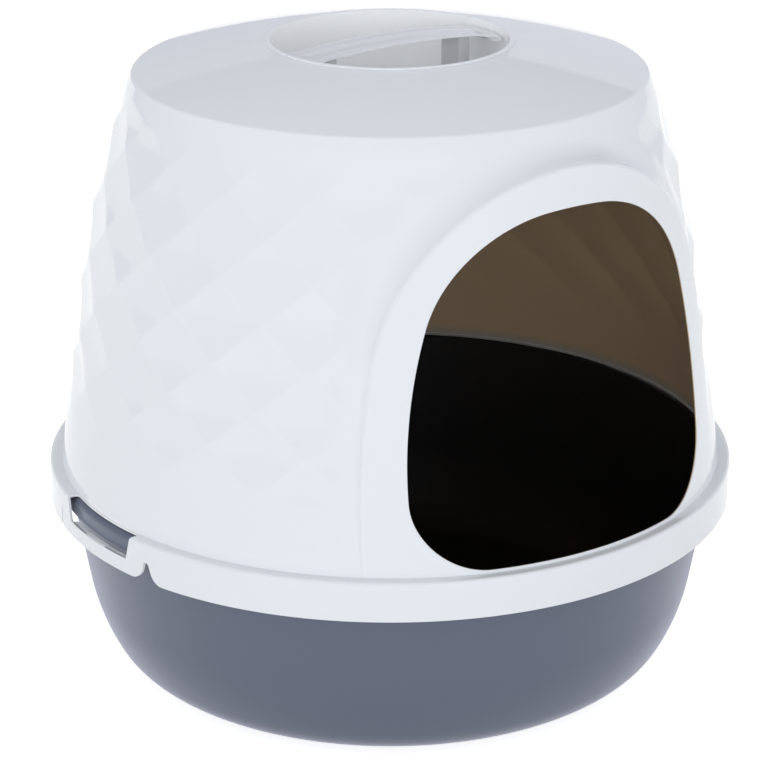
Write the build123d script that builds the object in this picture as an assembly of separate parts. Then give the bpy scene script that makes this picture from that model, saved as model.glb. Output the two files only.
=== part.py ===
from build123d import *
import math
import os

# A round covered litter box: an open pan, a hood that lifts off it, two snap tabs in the hood's rim,
# and a carry handle that stands in a round recess in the hood's roof.
# Millimetres. The origin is the centre of the pan's base, +Z is up and the entrance faces -Y.
# Section outlines are drawn as (distance from the axis, height) and turned about the Z axis.

# Rim, where the hood sits on the pan
rim_radius = 230.0
rim_height = 25.9
rim_round = 2.0
rim_gap = 2.4
ledge_width = 8.0
hood_wall = 2.4

# Pan
pan_wall = 2.5
pan_height = 141.7
pan_lip_width = 5.0
pan_lip_drop = 12.0
pan_lip_round = 4.0
pan_edge_round = 1.0
pan_corner_radius = 38.6
pan_corner_angle = 61.2
pan_side_radius = 131.7
pan_side_angle = 19.0

# Hood wall and roof
wall_lean = 7.8
wall_straight = 119.0
wall_arc_radius = 597.0
wall_arc_angle = 14.3
shoulder_round = 2.5
roof_rise = 18.4
roof_crown = 1.5

# Handle recess in the roof
cup_radius = 77.4
cup_draft = 2.8
cup_depth = 42.0
cup_lip_width = 3.2
cup_lip_height = 1.3
cup_lip_round = 0.6

# Porch, the raised panel round the entrance
porch_half_width = 139.3
porch_side_lean = 0.3
porch_side_radius = 704.0
porch_side_angle = 11.0
porch_shoulder_radius = 140.0
porch_shoulder_angle = 34.7
porch_proud = 0.5
porch_lean = 6.55

# Entrance
entry_margin = 25.8
entry_sill = 1.6
entry_corner_radius = 45.0
entry_side_radius = 371.8
entry_side_angle = 16.5
entry_shoulder_radius = 90.9
entry_shoulder_angle = 68.1

# Snap tabs
window_width = 73.6
window_depth = 16.0
window_ledge = 1.2
notch_offset = 54.9
notch_depth = 12.7
notch_top_width = 6.0
notch_flare = 1.0
notch_foot_width = 15.0
notch_foot_height = 3.5
flex_below_notch = 2.0
hook_width = 23.6
hook_height = 4.5
hook_drop = 0.4
hook_gap = 0.4

# Carry handle
bar_width = 30.0
bar_thickness = 2.8
bar_arch_radius = 600.0
bar_round = 1.0
bar_sink = 0.3
bar_straight = 56.5
bar_flare_radius = 10.0
bar_end_gap = 0.4
post_centre = 52.0
post_width = 21.0
post_thickness = 8.8
post_shoulder = 2.0
slot_gap = 0.3
foot_grip = 1.4
foot_height = 3.0

# Places worked out from the sizes above
ledge_z = pan_height + hood_wall
rim_z = ledge_z - rim_height
flex_z = ledge_z - notch_depth - flex_below_notch
skirt_inside = rim_radius - hood_wall
pan_lip_radius = skirt_inside - rim_gap
pan_mouth_radius = pan_lip_radius - pan_lip_width
wall_foot_radius = rim_radius - ledge_width
reach = 3 * rim_radius
wall_overrun = 1.2


def turned(section):
    """Turn a section drawn as (radius, height) about the upright axis."""
    return revolve(Plane.XZ * section, Axis.Z, 360)


def block(r0, z0, r1, z1):
    """A rectangle in the section plane between two corners."""
    return Pos((r0 + r1) / 2, (z0 + z1) / 2) * Rectangle(abs(r1 - r0), abs(z1 - z0))


def straight_face(*points):
    """A face with straight sides through the given points."""
    return make_face(Polyline(*points, close=True))


def corner_near(face, x, y):
    """The corner of a flat face that lies nearest to a point."""
    return face.vertices().sort_by_distance(Vertex(x, y, 0))[0]


def pan_curve(base_radius, inset):
    """The pan's outline from the axis up its side, moved inwards by inset."""
    bottom = Line((0, inset), (base_radius, inset))
    corner = JernArc(bottom @ 1, bottom % 1, pan_corner_radius - inset, pan_corner_angle)
    side = JernArc(corner @ 1, corner % 1, pan_side_radius - inset, pan_side_angle)
    heading = side % 1
    top = side @ 1 + heading * ((pan_height - (side @ 1).Y) / heading.Y)
    return [bottom, corner, side, Line(side @ 1, top)]


def pan_section():
    """The pan's floor and wall, with the lip that carries the hood."""
    spread = (pan_curve(1.0, 0)[-1] @ 1).X - 1.0
    base_radius = pan_mouth_radius - spread
    outer = pan_curve(base_radius, 0)
    inner = pan_curve(base_radius, pan_wall)
    mouth = (inner[-1] @ 1).X
    ends = [Line((0, 0), (0, pan_wall)), Line(outer[-1] @ 1, inner[-1] @ 1)]
    section = make_face(outer + inner + ends)
    section += block(mouth, pan_height - pan_wall, pan_lip_radius, pan_height)
    section += block(pan_lip_radius - pan_wall, pan_height - pan_lip_drop, pan_lip_radius, pan_height)
    section = fillet(corner_near(section, pan_lip_radius, pan_height), pan_lip_round)
    return fillet(corner_near(section, mouth, pan_height), pan_edge_round)


def build_pan():
    """The open pan that holds the litter."""
    return turned(pan_section())


def shoulder_point():
    """Where the outside of the wall meets the outside of the roof."""
    lean = math.radians(wall_lean)
    up = Vector(-math.sin(lean), math.cos(lean))
    foot = Vector(wall_foot_radius, ledge_z)
    arc = JernArc(foot + up * wall_straight, up, wall_arc_radius, wall_arc_angle)
    return arc @ 1


def cup_top_z():
    """Height of the recess's lip, the highest point of the box."""
    return shoulder_point().Y + roof_rise + cup_lip_height


def wall_region(inset):
    """Everything inside the hood's wall, moved inwards by inset, with the wall run on past the roof."""
    lean = math.radians(wall_lean)
    up = Vector(-math.sin(lean), math.cos(lean))
    inwards = Vector(-math.cos(lean), -math.sin(lean))
    foot = Vector(wall_foot_radius, ledge_z) + inwards * inset
    base = foot - up * (foot.Y / up.Y)
    straight = Line(base, foot + up * wall_straight)
    arc = JernArc(straight @ 1, up, wall_arc_radius - inset, wall_arc_angle * wall_overrun)
    top = arc @ 1
    return make_face([straight, arc, Polyline(top, (0, top.Y), (0, base.Y), base)])


def roof_region(drop):
    """Everything under the gently domed roof, lowered by drop."""
    outer = shoulder_point()
    inner = Vector(cup_radius + cup_lip_width, outer.Y + roof_rise)
    half_chord = (inner - outer).length / 2
    radius = (half_chord**2 + roof_crown**2) / (2 * roof_crown)
    along = (inner - outer).normalized()
    down = Vector(-along.Y, along.X)
    centre = (outer + inner) * 0.5 + down * (radius - roof_crown)
    return Pos(centre.X, centre.Y) * Circle(radius - drop)


def cup_region(grow, floor_drop):
    """The handle recess, grown all round by grow and deepened by floor_drop."""
    draft = math.tan(math.radians(cup_draft))
    floor = cup_top_z() - cup_depth - floor_drop
    top = cup_top_z() + cup_depth
    foot_radius = cup_radius + grow - (cup_depth + floor_drop) * draft
    top_radius = cup_radius + grow + cup_depth * draft
    return straight_face((0, floor), (foot_radius, floor), (top_radius, top), (0, top))


def hood_outside():
    """The hood's outer shape as one solid, with the recess taken out of its roof."""
    shoulder = shoulder_point()
    body = wall_region(0) & roof_region(0) & block(0, ledge_z - hood_wall, reach, reach)
    body = fillet(corner_near(body, shoulder.X, shoulder.Y), shoulder_round)
    lip_radius = cup_radius + cup_lip_width
    body += block(0, ledge_z, lip_radius, cup_top_z())
    rim = block(0, rim_z, rim_radius, ledge_z)
    body += fillet(corner_near(rim, rim_radius, ledge_z), rim_round)
    body -= cup_region(0, 0)
    body = fillet(corner_near(body, lip_radius, cup_top_z()), cup_lip_round)
    body = fillet(corner_near(body, cup_radius, cup_top_z()), cup_lip_round)
    return turned(body)


def hood_inside():
    """The hollow of the hood and its porch, which leaves the wall, the roof and the recess standing."""
    hollow = wall_region(hood_wall) & roof_region(hood_wall)
    hollow += block(0, 0, skirt_inside, ledge_z - hood_wall)
    hollow = turned(hollow) + (to_front(porch_face(hood_wall)) & porch_cone(hood_wall))
    return hollow - turned(cup_region(hood_wall, hood_wall))


def arch_half(start, lean, side, side_angle, shoulder, shoulder_angle):
    """One half of an arch from its foot to its crown: a side arc, a shoulder arc and a crown arc."""
    heading = math.radians(90 + lean)
    first = JernArc(start, (math.cos(heading), math.sin(heading)), side, side_angle)
    second = JernArc(first @ 1, first % 1, shoulder, shoulder_angle)
    crown_angle = 90 - lean - side_angle - shoulder_angle
    crown_radius = (second @ 1).X / math.sin(math.radians(crown_angle))
    return [first, second, JernArc(second @ 1, second % 1, crown_radius, crown_angle)]


def both_halves(half):
    """The edges of one half and their mirror images on the other side of the middle."""
    return half + [mirror(edge, Plane.YZ) for edge in half]


def porch_face(inset):
    """The porch's arch seen from the front, moved inwards by inset."""
    half_width = porch_half_width - inset
    half = arch_half(
        (half_width, ledge_z), porch_side_lean, porch_side_radius - inset, porch_side_angle,
        porch_shoulder_radius - inset, porch_shoulder_angle,
    )
    foot_z = ledge_z - hood_wall
    foot = Polyline((half_width, ledge_z), (half_width, foot_z), (-half_width, foot_z), (-half_width, ledge_z))
    return make_face(both_halves(half) + [foot])


def entry_face():
    """The entrance seen from the front: a flat sill, two round corners and an arch."""
    sill_z = ledge_z + entry_sill
    half_width = porch_half_width - entry_margin
    sill = Line((0, sill_z), (half_width - entry_corner_radius, sill_z))
    corner = JernArc(sill @ 1, sill % 1, entry_corner_radius, 90)
    arch = arch_half(
        corner @ 1, 0, entry_side_radius, entry_side_angle, entry_shoulder_radius, entry_shoulder_angle
    )
    return make_face(both_halves([sill, corner] + arch))


def porch_cone(inset):
    """The leaning front of the porch as a cone about the axis, moved inwards by inset."""
    lean = math.tan(math.radians(porch_lean))
    foot_z = ledge_z - hood_wall
    foot_radius = wall_foot_radius + porch_proud + hood_wall * lean - inset
    top_z = cup_top_z()
    top_radius = foot_radius - (top_z - foot_z) * lean
    return turned(straight_face((0, foot_z), (foot_radius, foot_z), (top_radius, top_z), (0, top_z)))


def to_front(face):
    """Stretch an outline drawn as (x, height) from the axis out past the entrance."""
    return extrude(Plane.XZ * face, reach)


def to_right(face):
    """Stretch an outline drawn as (y, height) from the axis out past the right-hand tab."""
    return extrude(Plane.YZ * face, reach)


def whole_hood():
    """The hood before its snap tabs are parted from it."""
    porch = (to_front(porch_face(0)) & porch_cone(0)) - turned(cup_region(0, 0))
    return hood_outside() + porch - hood_inside() - to_front(entry_face())


def notch_face(side):
    """One notch in the rim's lower edge beside a tab, narrow and round at its top."""
    half_top = notch_top_width / 2
    half_foot = notch_foot_width / 2
    crown_z = ledge_z - notch_depth - half_top
    foot_z = rim_z + notch_foot_height
    below_z = rim_z - hook_height
    crown = ThreePointArc((half_top, crown_z), (0, crown_z + half_top), (-half_top, crown_z))
    sides = Polyline(
        (-half_top, crown_z), (-half_top - notch_flare, foot_z), (-half_foot, rim_z), (-half_foot, below_z),
        (half_foot, below_z), (half_foot, rim_z), (half_top + notch_flare, foot_z), (half_top, crown_z),
    )
    return Pos(side * notch_offset, 0) * make_face([crown, sides])


def rim_cuts():
    """The window and the two notches that free a snap tab, on the right-hand side."""
    window = block(-window_width / 2, ledge_z - window_depth, window_width / 2, ledge_z + window_depth)
    inside = extrude(Pos(0, 0, rim_z) * Circle(wall_foot_radius + window_ledge), rim_height + window_depth)
    cuts = to_right(window) - inside
    return cuts + to_right(notch_face(-1)) + to_right(notch_face(1))


def tab_space():
    """The space below the flex line that a snap tab takes up, on the right-hand side."""
    return to_right(block(-notch_offset, rim_z, notch_offset, flex_z))


def hook():
    """The lug on the inside of a tab that holds the pan's lip."""
    top_z = ledge_z - window_depth - hook_drop
    lug = turned(block(pan_lip_radius + hook_gap, top_z - hook_height, skirt_inside + hood_wall / 2, top_z))
    return lug & to_right(block(-hook_width / 2, rim_z, hook_width / 2, ledge_z))


def other_side(shape):
    """The same shape on the left-hand side."""
    return Rot(0, 0, 180) * shape


def cup_floor_z():
    """Height of the floor of the handle recess."""
    return cup_top_z() - cup_depth


def post_box(width, thickness, low, high):
    """An upright bar under the handle at its right-hand post."""
    return Pos(post_centre, 0, (low + high) / 2) * Box(thickness, width, high - low)


def floor_slots():
    """The two slots in the recess's floor that the handle's feet pass through."""
    slot = post_box(
        post_width - 2 * post_shoulder + 2 * slot_gap, post_thickness - 2 * post_shoulder + 2 * slot_gap,
        cup_floor_z() - 2 * hood_wall, cup_floor_z() + hood_wall,
    )
    return slot + other_side(slot)


def bar_plan():
    """The grip bar seen from above: straight in the middle, with ends that widen along the recess's side."""
    half = bar_width / 2
    side = Line((0, half), (bar_straight, half))
    flare = JernArc(side @ 1, side % 1, bar_flare_radius, 90)
    end = Polyline(flare @ 1, ((flare @ 1).X, cup_radius), (cup_radius, cup_radius), (cup_radius, 0), (0, 0), (0, half))
    face = make_face([side, flare, end])
    face += mirror(face, Plane.XZ)
    return face + mirror(face, Plane.YZ)


def bar_strip():
    """The grip bar seen from the front: a thin strip that falls a little towards both ends."""
    top_z = cup_top_z() - bar_sink
    centre = Pos(0, top_z - bar_arch_radius)
    strip = centre * Circle(bar_arch_radius) - centre * Circle(bar_arch_radius - bar_thickness)
    return strip & block(-cup_radius, cup_floor_z(), cup_radius, top_z + bar_thickness)


def build_handle():
    """The carry handle: a thin arched grip bar on two posts whose feet snap through the recess's floor."""
    bar = extrude(Plane.XZ * bar_strip(), cup_radius, both=True)
    bar &= extrude(Pos(0, 0, cup_floor_z()) * bar_plan(), cup_depth)
    bar &= turned(cup_region(-bar_end_gap, 0))
    bar = fillet(bar.faces().sort_by(Axis.Z)[-1].edges(), bar_round)
    drop = bar_arch_radius - (bar_arch_radius**2 - post_centre**2) ** 0.5
    post_top_z = cup_top_z() - bar_sink - drop - bar_thickness / 2
    tongue_width = post_width - 2 * post_shoulder
    tongue = post_thickness - 2 * post_shoulder
    under_floor = cup_floor_z() - hood_wall
    post = post_box(post_width, post_thickness, cup_floor_z(), post_top_z)
    post += post_box(tongue_width, tongue, under_floor - foot_height, cup_floor_z())
    foot = post_box(tongue_width, tongue + 2 * foot_grip, under_floor - foot_height, under_floor)
    post += chamfer(foot.edges().group_by(Axis.Z)[0].filter_by(Axis.Y), foot_grip)
    return bar + post + other_side(post)


def build():
    """Build every piece and write one file for each."""
    os.makedirs("parts", exist_ok=True)
    hood = whole_hood() - floor_slots()
    cuts = rim_cuts()
    hood -= cuts + other_side(cuts)
    right_tab = (hood & tab_space()) + hook()
    left_tab = other_side(right_tab)
    hood -= tab_space() + other_side(tab_space())
    pieces = {
        "litter_pan": build_pan(),
        "hood": hood,
        "carry_handle": build_handle(),
        "left_snap_tab": left_tab,
        "right_snap_tab": right_tab,
    }
    for name, piece in pieces.items():
        export_step(piece, f"parts/{name}.step")


build()
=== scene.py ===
"""Looks of a round covered litter box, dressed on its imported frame.

Sizes are in millimetres and become metres where a mesh is made. Azimuth is measured about the upright
axis in radians, from the entrance, which faces -Y, towards +X. A point seen from the front is given as
(x, height), and a point of a section as (radius, height).
"""

from __future__ import annotations

import logging
import math
from collections import Counter
from dataclasses import dataclass, field
from enum import Enum

import bmesh
import bpy
import numpy as np
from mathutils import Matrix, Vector
from mathutils.geometry import delaunay_2d_cdt

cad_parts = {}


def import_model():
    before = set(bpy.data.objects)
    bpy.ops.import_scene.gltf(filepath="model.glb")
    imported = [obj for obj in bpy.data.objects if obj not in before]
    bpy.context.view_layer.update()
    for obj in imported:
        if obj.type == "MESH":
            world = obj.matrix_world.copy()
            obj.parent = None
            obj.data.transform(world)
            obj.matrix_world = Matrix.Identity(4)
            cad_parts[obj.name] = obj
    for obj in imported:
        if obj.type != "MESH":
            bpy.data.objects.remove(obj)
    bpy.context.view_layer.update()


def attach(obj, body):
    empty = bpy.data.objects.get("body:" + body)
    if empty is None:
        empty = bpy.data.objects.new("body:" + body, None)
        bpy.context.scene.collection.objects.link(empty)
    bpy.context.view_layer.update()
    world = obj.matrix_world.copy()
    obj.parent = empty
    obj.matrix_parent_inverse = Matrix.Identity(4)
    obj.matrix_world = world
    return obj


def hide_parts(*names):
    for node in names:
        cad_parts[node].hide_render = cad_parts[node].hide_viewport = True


LOG = logging.getLogger("litter_box")
METRES = 0.001
NEAR = 1e-6
LEAST_AREA = 1e-12
MERGE_GAP = 1e-5
PLACE_DECIMALS = 4
CORNER_STEPS = 4
MIRROR = np.array([-1.0, 1.0])
KEPT_NORMAL = "kept_normal"


class Surface(Enum):
    """Which finish a face of the hood takes, as its material slot's place."""

    OUTSIDE = 0
    # Faces inside the hood and the pan, and the handle's posts, take finishes that are painted shade.
    INSIDE = 1
    # Faces in the handle recess take a paler white that is painted light.
    RECESS = 2


# Curves
def smooth_step(value: np.ndarray | float) -> np.ndarray:
    """Ease from 0 to 1 with level ends, as the value goes from 0 to 1."""
    share = np.clip(value, 0.0, 1.0)
    return share * share * (3.0 - 2.0 * share)


def walk_arcs(
    start: tuple[float, float], heading: float, arcs: list[tuple[float, float]], step: float
) -> tuple[np.ndarray, np.ndarray]:
    """Follow arcs that all turn left and join without a corner.

    Args:
        start: First point, as (x, height).
        heading: First heading, in degrees from the x axis.
        arcs: (radius, angle in degrees) of each arc. A radius of 0 stands for a straight run, whose
            second number is its length.
        step: Longest distance between two points.

    Returns:
        The points, and the heading in radians at each of them.
    """
    points = [np.array(start, float)]
    headings = [math.radians(heading)]
    for radius, amount in arcs:
        here = points[-1]
        course = headings[-1]
        length = amount if radius == 0 else radius * math.radians(amount)
        count = max(1, math.ceil(length / step))
        for place in range(1, count + 1):
            gone = length * place / count
            if radius == 0:
                points.append(here + gone * np.array([math.cos(course), math.sin(course)]))
                headings.append(course)
                continue
            turned = course + gone / radius
            centre = here + radius * np.array([-math.sin(course), math.cos(course)])
            points.append(centre + radius * np.array([math.sin(turned), -math.cos(turned)]))
            headings.append(turned)
    return np.array(points), np.array(headings)


def round_corners(path: np.ndarray, rounds: dict[int, float], steps: int = 5) -> np.ndarray:
    """Round chosen corners of an open path with tangent arcs.

    Args:
        path: Points in a plane.
        rounds: Corner's place in the path to its radius.
        steps: Number of pieces in each arc.

    Returns:
        The path with arcs in place of those corners.
    """
    made = []
    for place, corner in enumerate(path):
        radius = rounds.get(place, 0.0)
        if radius == 0:
            made.append(corner)
            continue
        back = path[place - 1] - corner
        ahead = path[place + 1] - corner
        back = back / np.linalg.norm(back)
        ahead = ahead / np.linalg.norm(ahead)
        half = math.acos(float(np.clip(back @ ahead, -1, 1))) / 2
        reach = radius / math.tan(half)
        middle = (back + ahead) / np.linalg.norm(back + ahead)
        centre = corner + middle * radius / math.sin(half)
        first = corner + back * reach - centre
        last = corner + ahead * reach - centre
        sweep = math.acos(float(np.clip(first @ last / radius**2, -1, 1)))
        for step in range(steps + 1):
            share = step / steps
            blend = first * math.sin((1 - share) * sweep) + last * math.sin(share * sweep)
            made.append(centre + blend / math.sin(sweep))
    return np.array(made)


def along(points: np.ndarray) -> np.ndarray:
    """Distance from the first point to each point of a path, along the path."""
    steps = np.linalg.norm(np.diff(points, axis=0), axis=1)
    return np.concatenate([[0.0], np.cumsum(steps)])


@dataclass(frozen=True)
class Arch:
    """An arch seen from the front, the same on both sides of the middle."""

    half_width: float
    lean: float
    side_radius: float
    side_angle: float
    shoulder_radius: float
    shoulder_angle: float

    def half(
        self, foot: tuple[float, float], lead: list[tuple[float, float]], heading: float, step: float
    ) -> tuple[np.ndarray, np.ndarray]:
        """The right half, from its first point to the crown.

        Args:
            foot: First point, as (x, height).
            lead: Arcs that come before the side, as walk_arcs takes them.
            heading: First heading, in degrees.
            step: Longest distance between two points.

        Returns:
            The points and the headings, as walk_arcs gives them.
        """
        arcs = lead + [(self.side_radius, self.side_angle), (self.shoulder_radius, self.shoulder_angle)]
        points, headings = walk_arcs(foot, heading, arcs, step)
        left = math.pi - headings[-1]
        crown = points[-1][0] / math.sin(left)
        more, more_headings = walk_arcs(
            tuple(points[-1]), math.degrees(headings[-1]), [(crown, math.degrees(left))], step
        )
        return np.vstack([points, more[1:]]), np.concatenate([headings, more_headings[1:]])


# Shape of the hood
@dataclass(frozen=True)
class HoodForm:
    """The outer shape of the hood: a leaning wall, a low domed roof and a round handle recess."""

    pan_height: float = 141.7
    wall: float = 2.4
    rim_radius: float = 230.0
    rim_height: float = 25.9
    rim_round: float = 2.0
    ledge_width: float = 8.0
    lean: float = 7.8
    straight: float = 119.0
    arc_radius: float = 597.0
    arc_angle: float = 14.3
    shoulder_round: float = 2.5
    roof_rise: float = 18.4
    roof_crown: float = 1.5
    cup_radius: float = 77.4
    cup_draft: float = 2.8
    cup_depth: float = 42.0
    cup_floor_round: float = 3.0
    lip_width: float = 3.2
    lip_height: float = 1.3
    lip_round: float = 0.6

    @property
    def ledge_z(self) -> float:
        """Height of the ledge on which the wall stands."""
        return self.pan_height + self.wall

    @property
    def rim_z(self) -> float:
        """Height of the rim's lower edge."""
        return self.ledge_z - self.rim_height

    @property
    def foot_radius(self) -> float:
        """Radius of the wall where it meets the ledge."""
        return self.rim_radius - self.ledge_width

    @property
    def arc_start(self) -> tuple[float, float]:
        """The point at which the wall starts to curve inwards.

        Returns:
            Its radius and height.
        """
        lean = math.radians(self.lean)
        return (
            self.foot_radius - self.straight * math.sin(lean),
            self.ledge_z + self.straight * math.cos(lean),
        )

    @property
    def shoulder(self) -> tuple[float, float]:
        """The corner between wall and roof, before it is rounded.

        Returns:
            Its radius and height.
        """
        radius, height = self.arc_start
        start = math.radians(self.lean)
        end = math.radians(self.lean + self.arc_angle)
        return (
            radius - self.arc_radius * (math.cos(start) - math.cos(end)),
            height + self.arc_radius * (math.sin(end) - math.sin(start)),
        )

    @property
    def lip_z(self) -> float:
        """Height of the recess's lip, the highest point of the box."""
        return self.shoulder[1] + self.roof_rise + self.lip_height

    def wall_radius(self, height: np.ndarray | float) -> np.ndarray:
        """Outer radius of the plain wall.

        Args:
            height: Height or heights.

        Returns:
            The radius at each height.
        """
        height = np.asarray(height, float)
        straight = self.foot_radius - (height - self.ledge_z) * math.tan(math.radians(self.lean))
        radius, start = self.arc_start
        centre_r = radius - self.arc_radius * math.cos(math.radians(self.lean))
        centre_z = start - self.arc_radius * math.sin(math.radians(self.lean))
        curved = centre_r + np.sqrt(self.arc_radius**2 - (height - centre_z) ** 2)
        return np.where(height <= start, straight, curved)

    def roof_points(self, spacing: float) -> np.ndarray:
        """The section from the shoulder's round over the roof, the lip and down into the recess.

        Args:
            spacing: Distance between points on the roof.

        Returns:
            Points as (radius, height), from the top of the wall to the axis.
        """
        shoulder = np.array(self.shoulder)
        inner = np.array([self.cup_radius + self.lip_width, shoulder[1] + self.roof_rise])
        chord = inner - shoulder
        half = np.linalg.norm(chord) / 2
        sphere = (half**2 + self.roof_crown**2) / (2 * self.roof_crown)
        inwards = chord / (2 * half)
        down = np.array([-inwards[1], inwards[0]])
        centre = (inner + shoulder) / 2 + down * (sphere - self.roof_crown)
        first = math.atan2(shoulder[1] - centre[1], shoulder[0] - centre[0])
        last = math.atan2(inner[1] - centre[1], inner[0] - centre[0])
        share = np.linspace(0, 1, max(2, int(2 * half / spacing)))
        angle = first + (last - first) * share
        roof = centre + sphere * np.stack([np.cos(angle), np.sin(angle)], axis=1)
        wall_top_z = shoulder[1] - 3 * self.shoulder_round
        wall_top = np.array([float(self.wall_radius(wall_top_z)), wall_top_z])
        top = self.lip_z
        floor = top - self.cup_depth
        draft = math.tan(math.radians(self.cup_draft))
        floor_radius = self.cup_radius - self.cup_depth * draft
        recess = [(inner[0], top), (self.cup_radius, top), (floor_radius, floor), (0.0, floor)]
        path = np.array([wall_top, shoulder, *roof[2:], *recess])
        lip = len(path) - len(recess)
        rounds = {
            1: self.shoulder_round,
            lip: self.lip_round,
            lip + 1: self.lip_round,
            lip + 2: self.cup_floor_round,
        }
        return round_corners(path, rounds)


@dataclass(frozen=True)
class Facets:
    """The shallow diamonds of the wall, each softly domed, with a soft crease between two of them."""

    columns: int = 20
    row_height: float = 26.2
    tip_azimuth: float = -48.4
    tip_height: float = 318.6
    depth_share: float = 1.25
    edge_softness: float = 5.0
    bottom_start: float = 25.0
    bottom_fade: float = 60.0
    top_start: float = 8.0
    top_fade: float = 22.0

    def depth(self, azimuth: np.ndarray, height: np.ndarray, form: HoodForm) -> np.ndarray:
        """How far the faceted wall lies inside the plain one.

        Args:
            azimuth: Azimuths in radians.
            height: Heights in millimetres.
            form: The hood whose wall is faceted.

        Returns:
            The depth in millimetres at each point.
        """
        half_turn = math.pi / self.columns
        across = (azimuth - math.radians(self.tip_azimuth)) / half_turn
        up = (height - self.tip_height) / self.row_height
        sagitta = form.wall_radius(height) * (1 - math.cos(half_turn)) * self.depth_share
        base_across = np.floor(across)
        base_up = np.floor(up)
        total = np.zeros_like(across)
        for step_across in range(-1, 3):
            for step_up in range(-1, 3):
                centre_across = base_across + step_across
                centre_up = base_up + step_up
                is_centre = (centre_across + centre_up) % 2 != 0
                dome = sagitta * (1 - (across - centre_across) ** 2 - (up - centre_up) ** 2)
                total += np.where(is_centre, np.exp(self.edge_softness * dome), 0.0)
        depth = np.log(total) / self.edge_softness
        low = smooth_step((height - form.ledge_z - self.bottom_start) / self.bottom_fade)
        high = smooth_step((form.shoulder[1] - self.top_start - height) / self.top_fade)
        return np.maximum(depth, 0.0) * low * high


@dataclass(frozen=True)
class Porch:
    """The raised panel round the entrance: its arch, its leaning front and the step round it."""

    arch: Arch = Arch(139.3, 0.3, 704.0, 11.0, 140.0, 34.7)
    proud: float = 0.5
    lean: float = 6.55
    crest_round: float = 2.0
    blend_round: float = 9.0
    least_width: float = 1.2

    def radius(self, height: np.ndarray | float, form: HoodForm) -> np.ndarray:
        """Radius of the porch's leaning front at a height."""
        drop = math.tan(math.radians(self.lean))
        return form.foot_radius + self.proud - (np.asarray(height, float) - form.ledge_z) * drop


@dataclass(frozen=True)
class Entrance:
    """The opening in the porch: a flat sill, two round corners and an arch."""

    margin: float = 25.8
    sill: float = 1.6
    corner_radius: float = 45.0
    side_radius: float = 371.8
    side_angle: float = 16.5
    shoulder_radius: float = 90.9
    shoulder_angle: float = 68.1
    edge_round: float = 0.5

    def right_half(self, form: HoodForm, porch: Porch, step: float) -> tuple[np.ndarray, np.ndarray]:
        """The right half of the opening, from the middle of its sill up to its crown.

        Args:
            form: The hood in which the opening lies.
            porch: The panel round it.
            step: Longest distance between two points.

        Returns:
            The points and the headings, as walk_arcs gives them.
        """
        half_width = porch.arch.half_width - self.margin
        arch = Arch(
            half_width, 0, self.side_radius, self.side_angle, self.shoulder_radius, self.shoulder_angle
        )
        lead = [(0.0, half_width - self.corner_radius), (self.corner_radius, 90.0)]
        return arch.half((0.0, form.ledge_z + self.sill), lead, 0.0, step)


# Meshes
def same_places(points: np.ndarray) -> np.ndarray:
    """A number for each point, which points at the same place share."""
    return np.unique(np.round(points, PLACE_DECIMALS), axis=0, return_inverse=True)[1].reshape(-1)


def full_turn(count: int) -> np.ndarray:
    """Equally spaced azimuths all the way round, starting at the entrance."""
    return np.arange(count) * 2 * math.pi / count


def about_axis(radius: np.ndarray | float, azimuth: np.ndarray, height: np.ndarray | float) -> np.ndarray:
    """Places at given radii, azimuths and heights, one row for each azimuth."""
    parts = np.broadcast_arrays(radius * np.sin(azimuth), -radius * np.cos(azimuth), height)
    return np.stack(parts, axis=1)


def prism_faces(size: int, rings: int) -> list[tuple[int, ...]]:
    """Faces of a solid made of rings of points, one after another, with both its ends closed.

    Args:
        size: Number of points in a ring.
        rings: Number of rings.

    Returns:
        The faces, as numbers of the points.
    """
    last = size * rings - 1
    faces = [tuple(range(size)), tuple(range(last, last - size, -1))]
    for start in range(0, size * (rings - 1), size):
        for corner in range(size):
            here = start + corner
            ahead = start + (corner + 1) % size
            faces.append((ahead, here, here + size, ahead + size))
    return faces


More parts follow.
